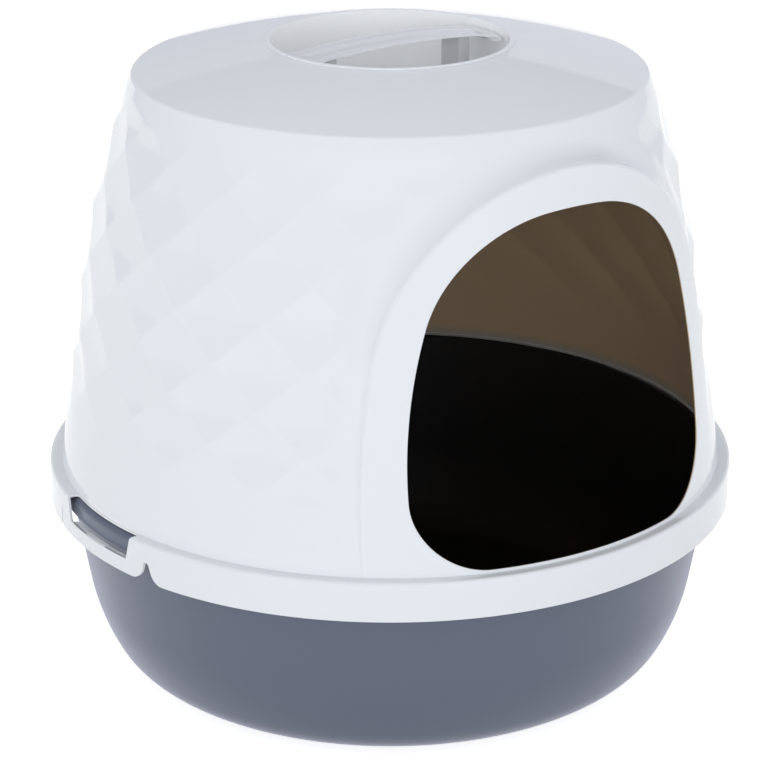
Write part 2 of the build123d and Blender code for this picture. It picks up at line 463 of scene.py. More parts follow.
class Sheet:
    """Points and faces of a surface while it is put together, with an outward normal for each point."""

    def __init__(self) -> None:
        """Start with nothing."""
        self.points: list[np.ndarray] = []
        self.normals: list[np.ndarray] = []
        self.faces: list[tuple[int, ...]] = []

    def add(self, points: np.ndarray, normals: np.ndarray | None = None) -> np.ndarray:
        """Add points.

        Args:
            points: Places, one row for each point.
            normals: Outward normals, or nothing where the faces are to give them.

        Returns:
            The new points' numbers.
        """
        first = len(self.points)
        self.points.extend(np.asarray(points, float).reshape(-1, 3))
        if normals is None:
            normals = np.zeros((len(self.points) - first, 3))
        self.normals.extend(np.asarray(normals, float).reshape(-1, 3))
        return np.arange(first, len(self.points))

    def ring(self, radius: float, height: float, azimuths: np.ndarray) -> np.ndarray:
        """Add a ring of points about the axis, or a single point on the axis.

        Args:
            radius: The ring's radius.
            height: Its height.
            azimuths: Azimuths of its points.

        Returns:
            The points' numbers, one for each azimuth.
        """
        if radius < NEAR:
            return np.repeat(self.add(np.array([[0.0, 0.0, height]])), len(azimuths))
        return self.add(about_axis(radius, azimuths, height))

    def strip(self, first: np.ndarray, second: np.ndarray, closed: bool = False) -> None:
        """Join two rows of as many points with four-sided faces.

        Args:
            first: Numbers of one row's points.
            second: Numbers of the other row's points.
            closed: Whether the rows are rings.
        """
        count = len(first)
        for place in range(count if closed else count - 1):
            ahead = (place + 1) % count
            corners = [first[place], first[ahead], second[ahead], second[place]]
            kept = [number for spot, number in enumerate(corners) if number != corners[spot - 1]]
            if len(kept) > 2:
                self.faces.append(tuple(int(number) for number in kept))

    def fill_normals(self) -> None:
        """Give each point without a normal the mean of its faces' normals, the larger counting more."""
        places = np.array(self.points)
        sums = np.zeros_like(places)
        for face in self.faces:
            corners = places[list(face)]
            area = np.cross(corners[1] - corners[0], corners[2] - corners[0])
            if len(face) == 4:
                area = area + np.cross(corners[2] - corners[0], corners[3] - corners[0])
            sums[list(face)] += area
        spots = same_places(places)
        shared = np.zeros_like(sums)
        np.add.at(shared, spots, sums)
        sums = shared[spots]
        lengths = np.linalg.norm(sums, axis=1, keepdims=True)
        sums = sums / np.maximum(lengths, LEAST_AREA)
        given = np.array(self.normals)
        empty = np.linalg.norm(given, axis=1) < NEAR
        given[empty] = sums[empty]
        self.normals = list(given)


@dataclass
class Mesh:
    """A finished list of points and faces, ready to become an object."""

    name: str
    points: np.ndarray
    faces: list[tuple[int, ...]]
    surfaces: list[Surface] = field(default_factory=list)
    normals: np.ndarray | None = None
    sharp_angle: float = 35.0
    weld_distance: float = 0.002

    def weld(self, mesh: bpy.types.Mesh) -> None:
        """Join points that lie on one another.

        Args:
            mesh: The mesh, which keeps its faces' materials and its corners' attributes.
        """
        net = bmesh.new()
        net.from_mesh(mesh)
        bmesh.ops.remove_doubles(net, verts=net.verts, dist=self.weld_distance * METRES)
        net.to_mesh(mesh)
        net.free()

    def thin_out(self) -> None:
        """Leave out faces without width, and pairs of faces that lie on one another."""
        spots = same_places(self.points)
        sets = [frozenset(spots[list(face)].tolist()) for face in self.faces]
        counts = Counter(sets)
        kept = [place for place, corners in enumerate(sets) if len(corners) > 2 and counts[corners] == 1]
        self.faces = [self.faces[place] for place in kept]
        if self.surfaces:
            self.surfaces = [self.surfaces[place] for place in kept]

    def weld_with_normals(self, mesh: bpy.types.Mesh) -> None:
        """Join points that lie on one another, while each face's corners keep their own normals.

        Args:
            mesh: The mesh.
        """
        corners = np.zeros(len(mesh.loops), np.int32)
        mesh.loops.foreach_get("vertex_index", corners)
        kept = mesh.attributes.new(KEPT_NORMAL, "FLOAT_VECTOR", "CORNER")
        kept.data.foreach_set("vector", self.normals[corners].ravel().astype(np.float32))
        self.weld(mesh)
        kept = mesh.attributes[KEPT_NORMAL]
        normals = np.zeros(len(mesh.loops) * 3, np.float32)
        kept.data.foreach_get("vector", normals)
        mesh.attributes.remove(kept)
        mesh.normals_split_custom_set(normals.reshape(-1, 3).tolist())

    def make(self) -> bpy.types.Object:
        """Make the object, with smooth shading and its own normals where it has them.

        Returns:
            The new object, in metres.
        """
        self.thin_out()
        mesh = bpy.data.meshes.new(self.name)
        mesh.from_pydata((self.points * METRES).tolist(), [], [list(face) for face in self.faces])
        mesh.update()
        mesh.polygons.foreach_set("use_smooth", [True] * len(mesh.polygons))
        if self.surfaces:
            mesh.polygons.foreach_set("material_index", [surface.value for surface in self.surfaces])
        if self.normals is None:
            self.weld(mesh)
            mesh.set_sharp_from_angle(angle=math.radians(self.sharp_angle))
        else:
            self.weld_with_normals(mesh)
        made = bpy.data.objects.new(self.name, mesh)
        bpy.context.scene.collection.objects.link(made)
        return made


# Hood
@dataclass
class HoodShell:
    """The hood above its rim: faceted wall, porch, entrance, roof and handle recess, as one thin shell."""

    form: HoodForm = HoodForm()
    facets: Facets = Facets()
    porch: Porch = Porch()
    entrance: Entrance = Entrance()
    skin: float = 1.4
    columns: int = 360
    sector: int = 48
    row_step: float = 3.2
    roof_step: float = 6.0
    edge_step: float = 3.0
    entrance_step: float = 0.5
    below_ledge: float = 1.2
    clear_of_edge: float = 1.6
    facet_clearance: float = 2.0
    facet_fade: float = 14.0
    front_cosine: float = 0.2
    normal_turn: float = 0.0015
    normal_rise: float = 0.3
    recess_margin: float = 0.05
    hollow_rows: int = 8
    side_shares: tuple[float, ...] = (0.33, 0.67)
    crest_rows: int = 7
    panel_rows: int = 8
    sheet: Sheet = field(init=False, default_factory=Sheet)
    outline: np.ndarray = field(init=False)
    inwards: np.ndarray = field(init=False)
    blend_width: np.ndarray = field(init=False)
    crest_edge: np.ndarray = field(init=False)

    def __post_init__(self) -> None:
        """Lay out the porch's outline as seen from the front, and the direction inwards at each point."""
        arch = self.porch.arch
        foot = (arch.half_width, self.bottom_z)
        half, headings = arch.half(foot, [(0.0, self.below_ledge)], 90 + arch.lean, self.edge_step)
        normals = np.stack([-np.sin(headings), np.cos(headings)], axis=1)
        self.outline = np.vstack([half, half[-2::-1] * MIRROR])
        self.inwards = np.vstack([normals, normals[-2::-1] * MIRROR])
        self.blend_width = np.zeros(len(self.outline))
        self.crest_edge = self.outline

    @property
    def bottom_z(self) -> float:
        """Height of the shell's lower edge, behind the rim's ledge."""
        return self.form.ledge_z - self.below_ledge

    @property
    def roof_path(self) -> np.ndarray:
        """The section from the top of the wall over the roof to the middle of the recess."""
        return self.form.roof_points(self.roof_step)[1:]

    @property
    def foot_count(self) -> int:
        """Number of points along half of the porch's foot, from the middle to the crest."""
        return max(2, math.ceil(self.crest_edge[0, 0] / self.edge_step))

    def front_point(self, flat: np.ndarray, radius: np.ndarray) -> np.ndarray:
        """Places of points seen from the front, on a surface of given radius about the axis."""
        depth = np.sqrt(np.maximum(radius**2 - flat[:, 0] ** 2, 0.0))
        return np.stack([flat[:, 0], -depth, flat[:, 1]], axis=1)

    def porch_point(self, flat: np.ndarray) -> np.ndarray:
        """Places of points seen from the front, on the porch's leaning front."""
        return self.front_point(flat, self.porch.radius(flat[:, 1], self.form))

    def blend_edge(self) -> np.ndarray:
        """The outer edge of the porch's soft joining with the wall, as seen from the front."""
        return self.outline - self.inwards * self.blend_width[:, None]

    def distance_outside(self, flat: np.ndarray) -> np.ndarray:
        """Least distance from each point, seen from the front, to the outer edge of the porch's blend."""
        gaps = np.linalg.norm(flat[:, None, :] - self.blend_edge()[None, :, :], axis=2)
        return gaps.min(axis=1)

    def is_beside(self, flat: np.ndarray) -> np.ndarray:
        """Whether points lie outside the porch and its blend.

        Args:
            flat: Points seen from the front.

        Returns:
            True or false for each point.
        """
        half = self.blend_edge()[: len(self.outline) // 2 + 1]
        widths = np.interp(flat[:, 1], half[:, 1], half[:, 0], left=half[0, 0], right=-1.0)
        return np.abs(flat[:, 0]) > widths

    def wall_radius(self, azimuth: np.ndarray, height: np.ndarray) -> np.ndarray:
        """Radius of the faceted wall, whose facets fade out towards the porch.

        Args:
            azimuth: Azimuths in radians.
            height: Heights in millimetres.

        Returns:
            The radius at each point.
        """
        plain = self.form.wall_radius(height)
        flat = np.stack([plain * np.sin(azimuth), height], axis=1)
        near = np.cos(azimuth) > self.front_cosine
        share = np.ones(len(azimuth))
        gap = self.distance_outside(flat[near]) - self.facet_clearance
        share[near] = smooth_step(gap / self.facet_fade) * self.is_beside(flat[near])
        return plain - self.facets.depth(azimuth, height, self.form) * share

    def wall_place(self, azimuth: np.ndarray, height: np.ndarray) -> np.ndarray:
        """Places on the faceted wall."""
        return about_axis(self.wall_radius(azimuth, height), azimuth, height)

    def wall_points(self, azimuth: np.ndarray, height: np.ndarray) -> tuple[np.ndarray, np.ndarray]:
        """Places and outward normals on the faceted wall.

        Args:
            azimuth: Azimuths in radians.
            height: Heights in millimetres.

        Returns:
            The places and the normals.
        """
        turn = self.normal_turn
        rise = self.normal_rise
        across = self.wall_place(azimuth + turn, height) - self.wall_place(azimuth - turn, height)
        upwards = self.wall_place(azimuth, height + rise) - self.wall_place(azimuth, height - rise)
        normals = np.cross(across, upwards)
        normals = normals / np.linalg.norm(normals, axis=1, keepdims=True)
        return self.wall_place(azimuth, height), normals

    def build_step(self) -> tuple[np.ndarray, np.ndarray]:
        """Build the step round the porch: a soft hollow on the wall, a side and a round crest.

        Returns:
            The numbers of the points on its outer edge and on its inner edge.
        """
        form = self.form
        porch = self.porch
        wall = np.sqrt(form.wall_radius(self.outline[:, 1]) ** 2 - self.outline[:, 0] ** 2)
        front = np.sqrt(porch.radius(self.outline[:, 1], form) ** 2 - self.outline[:, 0] ** 2)
        height = front - wall
        crest = np.minimum(porch.crest_round, height / 2)
        blend = np.minimum(porch.blend_round, height - crest)
        crest_width = np.maximum(crest, porch.least_width)
        self.blend_width = np.maximum(blend, porch.least_width)
        rows = []
        for angle in np.linspace(0, math.pi / 2, self.hollow_rows):
            flat = self.outline - self.inwards * (self.blend_width * (1 - math.sin(angle)))[:, None]
            place = self.front_point(flat, form.wall_radius(flat[:, 1]))
            place[:, 1] -= blend * (1 - math.cos(angle))
            rows.append(place)
        for share in self.side_shares:
            place = self.front_point(self.outline, form.wall_radius(self.outline[:, 1]))
            place[:, 1] -= blend + share * (height - blend - crest)
            rows.append(place)
        for angle in np.linspace(0, math.pi / 2, self.crest_rows):
            flat = self.outline + self.inwards * (crest_width * (1 - math.cos(angle)))[:, None]
            place = self.porch_point(flat)
            place[:, 1] += crest * (1 - math.sin(angle))
            rows.append(place)
        numbers = [self.sheet.add(row) for row in rows]
        for first, second in zip(numbers, numbers[1:]):
            self.sheet.strip(first, second)
        self.crest_edge = self.outline + self.inwards * crest_width[:, None]
        return numbers[0], numbers[-1]

    def entrance_points(self, outer: np.ndarray) -> np.ndarray:
        """Points round the right half of the entrance, which match the panel's outer edge.

        Args:
            outer: The panel's outer edge, from the middle of its foot up to its crown.

        Returns:
            One point for each point of the outer edge, so that corner lies by corner.
        """
        entrance = self.entrance
        inner, headings = entrance.right_half(self.form, self.porch, self.entrance_step)
        inner = inner + entrance.edge_round * np.stack([np.sin(headings), -np.cos(headings)], axis=1)
        gone = along(inner)
        outer_gone = along(outer)
        corner_start = self.porch.arch.half_width - entrance.margin - entrance.corner_radius
        corner_end = corner_start + entrance.corner_radius * math.pi / 2
        corner_middle = (corner_start + corner_end) / 2
        above_corner = np.abs(outer[:, 1] - self.form.ledge_z - entrance.corner_radius)
        side_place = max(int(np.argmin(above_corner)), self.foot_count + 1)
        outer_keys = [0.0, outer_gone[self.foot_count], outer_gone[side_place], outer_gone[-1]]
        inner_keys = [0.0, corner_middle, corner_end, gone[-1]]
        wanted = np.interp(outer_gone, outer_keys, inner_keys)
        return np.stack([np.interp(wanted, gone, inner[:, axis]) for axis in range(2)], axis=1)

    def build_panel(self, crest_row: np.ndarray) -> np.ndarray:
        """Build the panel between the crest and the entrance.

        Args:
            crest_row: Numbers of the points on the crest's inner edge, from the right foot round.

        Returns:
            The numbers of the ring of points round the entrance.
        """
        right = self.crest_edge[: len(self.outline) // 2 + 1]
        foot_x = np.linspace(0, right[0, 0], self.foot_count, endpoint=False)
        foot = np.stack([foot_x, np.full(self.foot_count, right[0, 1])], axis=1)
        outer = np.vstack([foot, right])
        inner = self.entrance_points(outer)
        outer_ring = np.vstack([outer, outer[-2:0:-1] * MIRROR])
        inner_ring = np.vstack([inner, inner[-2:0:-1] * MIRROR])
        right_foot = self.sheet.add(self.porch_point(foot))
        left_foot = self.sheet.add(self.porch_point(foot[:0:-1] * MIRROR))
        previous = np.concatenate([right_foot, crest_row, left_foot])
        for row in range(1, self.panel_rows + 1):
            share = row / self.panel_rows
            flat = outer_ring * (1 - share) + inner_ring * share
            numbers = self.sheet.add(self.porch_point(flat))
            self.sheet.strip(previous, numbers, closed=True)
            previous = numbers
        return previous

    def build_wall(self, outer_row: np.ndarray) -> tuple[np.ndarray, np.ndarray]:
        """Build the faceted wall round the porch.

        Args:
            outer_row: Numbers of the points on the outer edge of the porch's step.

        Returns:
            The ring of points at the wall's top, and the row at its bottom from the porch's right foot
            round the back to its left foot.
        """
        top_z = self.roof_path[0][1]
        count = math.ceil((top_z - self.form.ledge_z) / self.row_step)
        heights = np.concatenate([[self.bottom_z], np.linspace(self.form.ledge_z, top_z, count + 1)])
        turn = 2 * math.pi / self.columns
        azimuths = np.arange(self.columns) * turn
        grid = np.full((len(heights), self.columns), -1)
        back = np.arange(self.sector, self.columns - self.sector + 1)
        left_of_porch = np.arange(self.columns - self.sector + 1, self.columns)
        front = np.concatenate([left_of_porch, np.arange(self.sector)])
        for row, height in enumerate(heights):
            places, normals = self.wall_points(azimuths, np.full(self.columns, height))
            flat = places[front][:, [0, 2]]
            is_clear = self.distance_outside(flat) > self.clear_of_edge
            kept = front[is_clear & self.is_beside(flat)]
            wanted = np.sort(np.concatenate([back, kept]))
            grid[row, wanted] = self.sheet.add(places[wanted], normals[wanted])
        for row in range(len(heights) - 1):
            self.sheet.strip(grid[row, back], grid[row + 1, back])
        self.fill_front(grid, azimuths, heights, outer_row)
        foot = np.concatenate([outer_row[:1], grid[0][grid[0] >= 0], outer_row[-1:]])
        return grid[-1], foot

    def fill_front(
        self, grid: np.ndarray, azimuths: np.ndarray, heights: np.ndarray, outer_row: np.ndarray
    ) -> None:
        """Fill the wall between the porch and the first whole columns on each side.

        Args:
            grid: Numbers of the wall's points (rows by columns), -1 where the porch stands.
            azimuths: The columns' azimuths.
            heights: The rows' heights.
            outer_row: Numbers of the points on the outer edge of the porch's step.
        """
        signed = np.where(azimuths > math.pi, azimuths - 2 * math.pi, azimuths)
        order = np.argsort(signed)
        order = order[np.abs(signed[order]) <= self.sector * 2 * math.pi / self.columns + NEAR]
        scale = self.form.wall_radius(self.form.ledge_z + self.form.straight)
        flat: dict[int, tuple[float, float]] = {}
        for row, height in enumerate(heights):
            for column in order:
                if grid[row, column] >= 0:
                    flat[int(grid[row, column])] = (float(signed[column] * scale), float(height))
        for number in outer_row:
            place = self.sheet.points[number]
            flat[int(number)] = (float(math.atan2(place[0], -place[1]) * scale), float(place[2]))
        bottom = [int(grid[0, column]) for column in order if grid[0, column] >= 0]
        left = [number for number in bottom if flat[number][0] < 0]
        right = [number for number in bottom if flat[number][0] > 0]
        middle_rows = range(1, len(heights) - 1)
        loop = left + [int(number) for number in outer_row[::-1]] + right
        loop += [int(grid[row, order[-1]]) for row in middle_rows]
        loop += [int(grid[-1, column]) for column in order[::-1]]
        loop += [int(grid[row, order[0]]) for row in reversed(middle_rows)]
        self.add_triangles(flat, loop)

    def add_triangles(self, flat: dict[int, tuple[float, float]], loop: list[int]) -> None:
        """Fill a stretch of the wall with triangles.

        Args:
            flat: Places of the points on it and round it, on the unrolled wall, by their numbers.
            loop: Numbers of the points round it, in order.
        """
        numbers = list(flat)
        place_of = {number: place for place, number in enumerate(numbers)}
        outline = [place_of[number] for number in loop]
        flat_points = [Vector(flat[number]) for number in numbers]
        found, _, faces, origins, _, _ = delaunay_2d_cdt(flat_points, [], [outline], 1, MERGE_GAP)
        back_to = [numbers[origin[0]] if origin else -1 for origin in origins]
        for face in faces:
            corners = [back_to[corner] for corner in face]
            first, second, third = (found[corner] for corner in face[:3])
            turned = (second - first).cross(third - first)
            self.sheet.faces.append(tuple(corners if turned > 0 else corners[::-1]))

    def build_roof(self, top_ring: np.ndarray) -> None:
        """Build the shoulder, the roof, the lip and the recess.

        Args:
            top_ring: Numbers of the points at the wall's top.
        """
        azimuths = full_turn(self.columns)
        previous = top_ring
        for radius, height in self.roof_path[1:]:
            numbers = self.sheet.ring(radius, height, azimuths)
            self.sheet.strip(previous, numbers, closed=True)
            previous = numbers

    def build(self) -> bpy.types.Object:
        """Build the whole shell with its thickness and its rounded entrance edge.

        Returns:
            The hood's object.
        """
        outer_row, crest_row = self.build_step()
        entrance_ring = self.build_panel(crest_row)
        top_ring, wall_foot = self.build_wall(outer_row)
        self.build_roof(top_ring)
        self.sheet.fill_normals()
        points = np.array(self.sheet.points)
        normals = np.array(self.sheet.normals)
        faces = list(self.sheet.faces)
        count = len(points)
        inner_faces = [tuple(number + count for number in face[::-1]) for face in faces]
        both = Sheet()
        both.add(points, normals)
        both.add(points - normals * self.skin, -normals)
        self.roll_edge(both, entrance_ring, count)
        foot = np.concatenate([wall_foot[::-1], self.porch_foot(crest_row, outer_row)])
        both.strip(foot, foot + count, closed=True)
        made = Mesh("hood_shell", np.array(both.points), faces + inner_faces + both.faces)
        # Outer faces take the white, or the recess's painted-light white; the inner skin and the strip
        # along the foot take the inside finish, which is painted shade; the entrance's rolled edge stays
        # white.
        made.surfaces = [self.skin_surface(points[list(face)]) for face in faces]
        made.surfaces += [Surface.INSIDE] * len(inner_faces)
        edge_count = len(entrance_ring) * CORNER_STEPS
        made.surfaces += [Surface.OUTSIDE] * edge_count
        made.surfaces += [Surface.INSIDE] * (len(both.faces) - edge_count)
        made.normals = np.array(both.normals)
        return made.make()

    def skin_surface(self, corners: np.ndarray) -> Surface:
        """Which surface a face of the outer skin belongs to, from the places of its corners."""
        reach = np.hypot(corners[:, 0], corners[:, 1]).max()
        # Faces within the handle recess take the paler recess white, which is painted light.
        return Surface.RECESS if reach < self.form.cup_radius + self.recess_margin else Surface.OUTSIDE

    def porch_foot(self, crest_row: np.ndarray, outer_row: np.ndarray) -> np.ndarray:
        """Numbers of the points along the porch's foot, from its right side to its left side.

        Args:
            crest_row: Numbers of the points on the crest's inner edge.
            outer_row: Numbers of the points on the outer edge of the porch's step.

        Returns:
            The numbers, without the two feet of the outer edge.
        """
        first = int(crest_row[-1]) + 1
        after = first + self.foot_count
        right_half = np.arange(first, after)[::-1]
        left_half = np.arange(after, after + self.foot_count - 1)[::-1]
        right_step = self.step_feet(outer_row[0])[1:]
        left_step = self.step_feet(outer_row[-1])[:0:-1]
        return np.concatenate([right_step, right_half, left_half, left_step])

    def step_feet(self, foot: int) -> np.ndarray:
        """Numbers of the points across the step, from one of its outer feet inwards."""
        rows = self.hollow_rows + len(self.side_shares) + self.crest_rows
        return foot + np.arange(rows) * len(self.outline)

    def roll_edge(self, sheet: Sheet, ring: np.ndarray, count: int) -> None:
        """Round the cut edge of the entrance, from the outer skin to the inner one.

        Args:
            sheet: The sheet that holds the points of both skins.
            ring: Numbers of the outer skin's points round the entrance.
            count: How much higher a point's number is on the inner skin.
        """
        places = np.array([sheet.points[number] for number in ring])
        normals = np.array([sheet.normals[number] for number in ring])
        tangents = np.roll(places, -1, axis=0) - np.roll(places, 1, axis=0)
        towards = np.cross(normals, tangents)
        towards /= np.linalg.norm(towards, axis=1, keepdims=True)
        if towards[0, 2] < 0:
            towards = -towards
        radius = self.entrance.edge_round
        quarter = np.radians(np.linspace(0, 90, CORNER_STEPS + 1))
        previous = ring
        for angle in quarter[1:]:
            moved = places + towards * radius * math.sin(angle) - normals * radius * (1 - math.cos(angle))
            numbers = sheet.add(moved, normals * math.cos(angle) + towards * math.sin(angle))
            sheet.strip(previous, numbers, closed=True)
            previous = numbers
        for angle in quarter[:-1]:
            depth = self.skin - radius + radius * math.sin(angle)
            moved = places + towards * radius * math.cos(angle) - normals * depth
            numbers = sheet.add(moved, towards * math.cos(angle) - normals * math.sin(angle))
            sheet.strip(previous, numbers, closed=True)
            previous = numbers
        sheet.strip(previous, ring + count, closed=True)


# Rim and snap tabs
class RimPart(Enum):
    """Which piece of the rim a patch of its skin belongs to."""

    GAP = "gap"
    HOOD = "hood_rim"
    LEFT_TAB = "left_tab"
    RIGHT_TAB = "right_tab"


class Stretch(Enum):
    """What lies between two neighbouring columns of the rim."""

    RIM = "rim"
    NOTCH = "notch"
    STRAP = "strap"
    WINDOW = "window"


@dataclass(frozen=True)
class Notch:
    """The shape of one notch between a tab and the skirt: a rounded top that widens towards the foot."""

    half: float
    tab_round: float
    tab_slope: float
    skirt_round: float
    skirt_slope: float
    crown_share: float = 0.94

    def edge(self, height: np.ndarray, top: float, foot: float, outer_side: bool) -> np.ndarray:
        """Distance from the notch's middle to its edge, at each height.

        Args:
            height: Heights of the rows.
            top: Height of the notch's top.
            foot: Height of the skirt's foot.
            outer_side: Whether it is the edge away from the tab.

        Returns:
            The distances.
        """
        above_foot = np.maximum(height - foot, 0.0)
        crown_z = top - self.half
        crown = np.clip(height - crown_z, 0.0, self.half * self.crown_share)
        slope = self.skirt_slope if outer_side else self.tab_slope
        corner = self.skirt_round if outer_side else self.tab_round
        narrow = np.sqrt(self.half**2 - crown**2) + slope * np.maximum(crown_z - height, 0.0)
        left = np.clip(corner - above_foot, 0.0, corner)
        return narrow + corner - np.sqrt(corner**2 - left**2)


@dataclass(frozen=True)
class Wedge:
    """A wedge inside a tab, under the pan's lip: the long shelf, or the hook in its middle."""

    width: float
    height: float
    tip_radius: float
    rise: float


@dataclass(frozen=True)
class RimBand:
    """The flat ledge and the skirt below it, with a window, two notches and a snap tab at each side."""

    form: HoodForm = HoodForm()
    skin: float = 1.7
    inner_round: float = 0.3
    ledge_lap: float = 1.0
    window_width: float = 73.6
    window_depth: float = 16.0
    window_ledge: float = 0.4
    window_round: float = 3.0
    window_inset: float = 0.8
    window_spread: float = 4.3
    notch_offset: float = 54.9
    notch_depth: float = 12.7
    front_notch: Notch = Notch(2.4, 8.5, 0.22, 6.0, 0.38)
    rear_notch: Notch = Notch(0.6, 2.0, 0.0, 1.5, 0.0)
    flex_below_notch: float = 2.0
    shelf: Wedge = Wedge(67.0, 2.2, 225.9, 0.0)
    hook: Wedge = Wedge(23.6, 4.5, 225.6, 0.3)
    wedge_lap: float = 0.3
    wedge_tip: float = 1.2
    wedge_step: float = 3.0
    cut_angle: float = 50.0
    edge_round: float = 0.45
    edge_segments: int = 3
    last_fixed_y: float = 78.0
    azimuth_step: float = 1.5
    round_steps: int = 6
    ledge_steps: tuple[float, ...] = (0.0, 0.25, 0.8, 1.7, 3.0, 4.0)
    upper_rows: tuple[float, ...] = (139.5, 136.5, 134.0, 132.4)
    notch_steps: tuple[float, ...] = (0.0, 0.15, 0.6, 1.2)
    window_step: float = 0.5
    foot_steps: tuple[float, ...] = (8.5, 6.8, 5.2, 3.8, 2.7, 1.8, 1.0, 0.45, 0.12, 0.0)
    window_columns: tuple[float, ...] = (0.0, 6.0, 18.0, 24.0, 29.5)
    rim_shares: tuple[float, ...] = (0.35, 0.7, 1.0)

    @property
    def window_foot(self) -> float:
        """Height of the window's lower edge."""
        return self.form.ledge_z - self.window_depth

    @property
    def notch_top(self) -> float:
        """Height of the notch's top."""
        return self.form.ledge_z - self.notch_depth

    @property
    def flex_z(self) -> float:
        """Height of the line at which a tab bends."""
        return self.notch_top - self.flex_below_notch

    def section(self) -> tuple[np.ndarray, np.ndarray]:
        """The skin's section, from inside the wall over the ledge and down the skirt.

        Returns:
            Outer and inner points as (radius, height), row by row.
        """
        form = self.form
        inner_corner = form.rim_radius - self.skin
        under = form.ledge_z - self.skin
        window_start = form.foot_radius + self.window_ledge
        ledge = [form.foot_radius - form.wall, form.foot_radius - self.ledge_lap]
        ledge += [window_start + step for step in self.ledge_steps]
        outer = [(radius, form.ledge_z) for radius in ledge]
        inner = [(radius, under) for radius in ledge]
        for angle in np.radians(np.linspace(90, 0, self.round_steps + 1)):
            back = 1 - math.cos(angle)
            down = 1 - math.sin(angle)
            outer.append((form.rim_radius - form.rim_round * back, form.ledge_z - form.rim_round * down))
            inner.append((inner_corner - self.inner_round * back, under - self.inner_round * down))
        heights = [*self.upper_rows, *(self.notch_top - step for step in self.notch_steps)]
        heights += [self.flex_z, self.window_foot + self.window_step, self.window_foot]
        heights += [form.rim_z + step for step in self.foot_steps]
        outer += [(form.rim_radius, height) for height in heights]
        inner += [(inner_corner, height) for height in heights]
        return np.array(outer), np.array(inner)

    def window_edge(self, section: np.ndarray) -> np.ndarray:
        """Half width of the window, which has rounded corners at the wall.

        Args:
            section: Outer points of the section.

        Returns:
            The half width at each row.
        """
        gone = along(section)
        start = int(np.argmin(np.abs(section[:, 0] - self.form.foot_radius - self.window_ledge)))
        near_end = np.clip(gone - gone[start], 0, self.window_round)
        left = self.window_round - near_end
        rounded = self.window_round - np.sqrt(self.window_round**2 - left**2)
        rise = np.clip((section[:, 1] - self.window_foot) / self.window_depth, 0.0, 1.0)
        return self.window_width / 2 - self.window_inset + self.window_spread * rise - rounded

    def columns(self, section: np.ndarray) -> tuple[np.ndarray, list[Stretch]]:
        """Sideways places of one side's columns at each row, from the front of the box to its back.

        Args:
            section: Outer points of the section.

        Returns:
            The places (rows by columns), and what lies between each two of them.
        """
        front = self.half_columns(section, self.front_notch)
        rear = self.half_columns(section, self.rear_notch)
        places = [-column for column, _ in front[:0:-1]] + [column for column, _ in rear]
        kinds = [kind for _, kind in front[-2::-1]] + [kind for _, kind in rear[:-1]]
        return np.stack(places, axis=1), kinds

    def half_columns(self, section: np.ndarray, notch: Notch) -> list[tuple[np.ndarray, Stretch]]:
        """Sideways places from the middle of the tab outwards, and what follows each.

        Args:
            section: Outer points of the section.
            notch: The notch at this end of the tab.

        Returns:
            Each column's distance at each row, and what lies between it and the next.
        """
        height = section[:, 1]
        window = self.window_edge(section)
        ends = (height, self.notch_top, self.form.rim_z)
        inner_edge = self.notch_offset - notch.edge(*ends, outer_side=False)
        outer_edge = self.notch_offset + notch.edge(*ends, outer_side=True)
        fixed = sorted([*self.window_columns, self.hook.width / 2])
        half = [(np.full(len(height), place), Stretch.WINDOW) for place in fixed]
        half.append((window, Stretch.STRAP))
        half.append(((window + inner_edge) / 2, Stretch.STRAP))
        half.append((inner_edge, Stretch.NOTCH))
        half.append((outer_edge, Stretch.RIM))
        for share in self.rim_shares:
            half.append((outer_edge + share * (self.last_fixed_y - outer_edge), Stretch.RIM))
        return half

    def grid(self) -> tuple[np.ndarray, np.ndarray, list[tuple[Stretch, int]]]:
        """The rim's outer and inner skins as closed grids.

        Returns:
            Outer places, inner places (rows by columns by 3), and for each column what follows it and
            at which side it is (1 right, -1 left, 0 neither).
        """
        outer, inner = self.section()
        sideways, kinds = self.columns(outer)
        first = math.degrees(math.asin(self.last_fixed_y / self.form.rim_radius))
        count = math.ceil((90 - first) / self.azimuth_step) * 2
        step = 2 * (90 - first) / count
        front = np.radians(np.arange(1, count) * step - (90 - first))
        back = front + math.pi
        skins = []
        for skin in (outer, inner):
            radius = skin[:, :1]
            depth = np.sqrt(radius**2 - sideways**2)
            right = np.stack([depth, sideways], axis=2)
            left = np.stack([-depth[:, ::-1], sideways[:, ::-1]], axis=2)
            arcs = [
                np.stack([radius * np.sin(course), -radius * np.cos(course)], axis=2)
                for course in (front, back)
            ]
            flat = np.concatenate([arcs[0], right, arcs[1], left], axis=1)
            height = np.repeat(skin[:, 1][:, None], flat.shape[1], axis=1)
            skins.append(np.concatenate([flat, height[:, :, None]], axis=2))
        plain = [(Stretch.RIM, 0)] * (count - 1)
        marks = plain + [(kind, 1) for kind in kinds] + [(Stretch.RIM, 0)] + plain
        marks += [(kind, -1) for kind in kinds[::-1]] + [(Stretch.RIM, 0)]
        return skins[0], skins[1], marks

    def owner(self, upper: np.ndarray, stretch: Stretch, side: int) -> RimPart:
        """Which piece a patch belongs to.

        Args:
            upper: The section's point at the patch's upper row.
            stretch: What lies between its two columns.
            side: 1 at the right of the box, -1 at the left.

        Returns:
            The piece, or the gap.
        """
        tab = RimPart.RIGHT_TAB if side > 0 else RimPart.LEFT_TAB
        if stretch is Stretch.NOTCH and upper[1] <= self.notch_top + NEAR:
            return RimPart.GAP
        if stretch is Stretch.STRAP and upper[1] <= self.flex_z + NEAR:
            return tab
        if stretch is Stretch.WINDOW:
            if upper[1] <= self.window_foot + NEAR:
                return tab
            if upper[0] >= self.form.foot_radius + self.window_ledge - NEAR:
                return RimPart.GAP
        return RimPart.HOOD

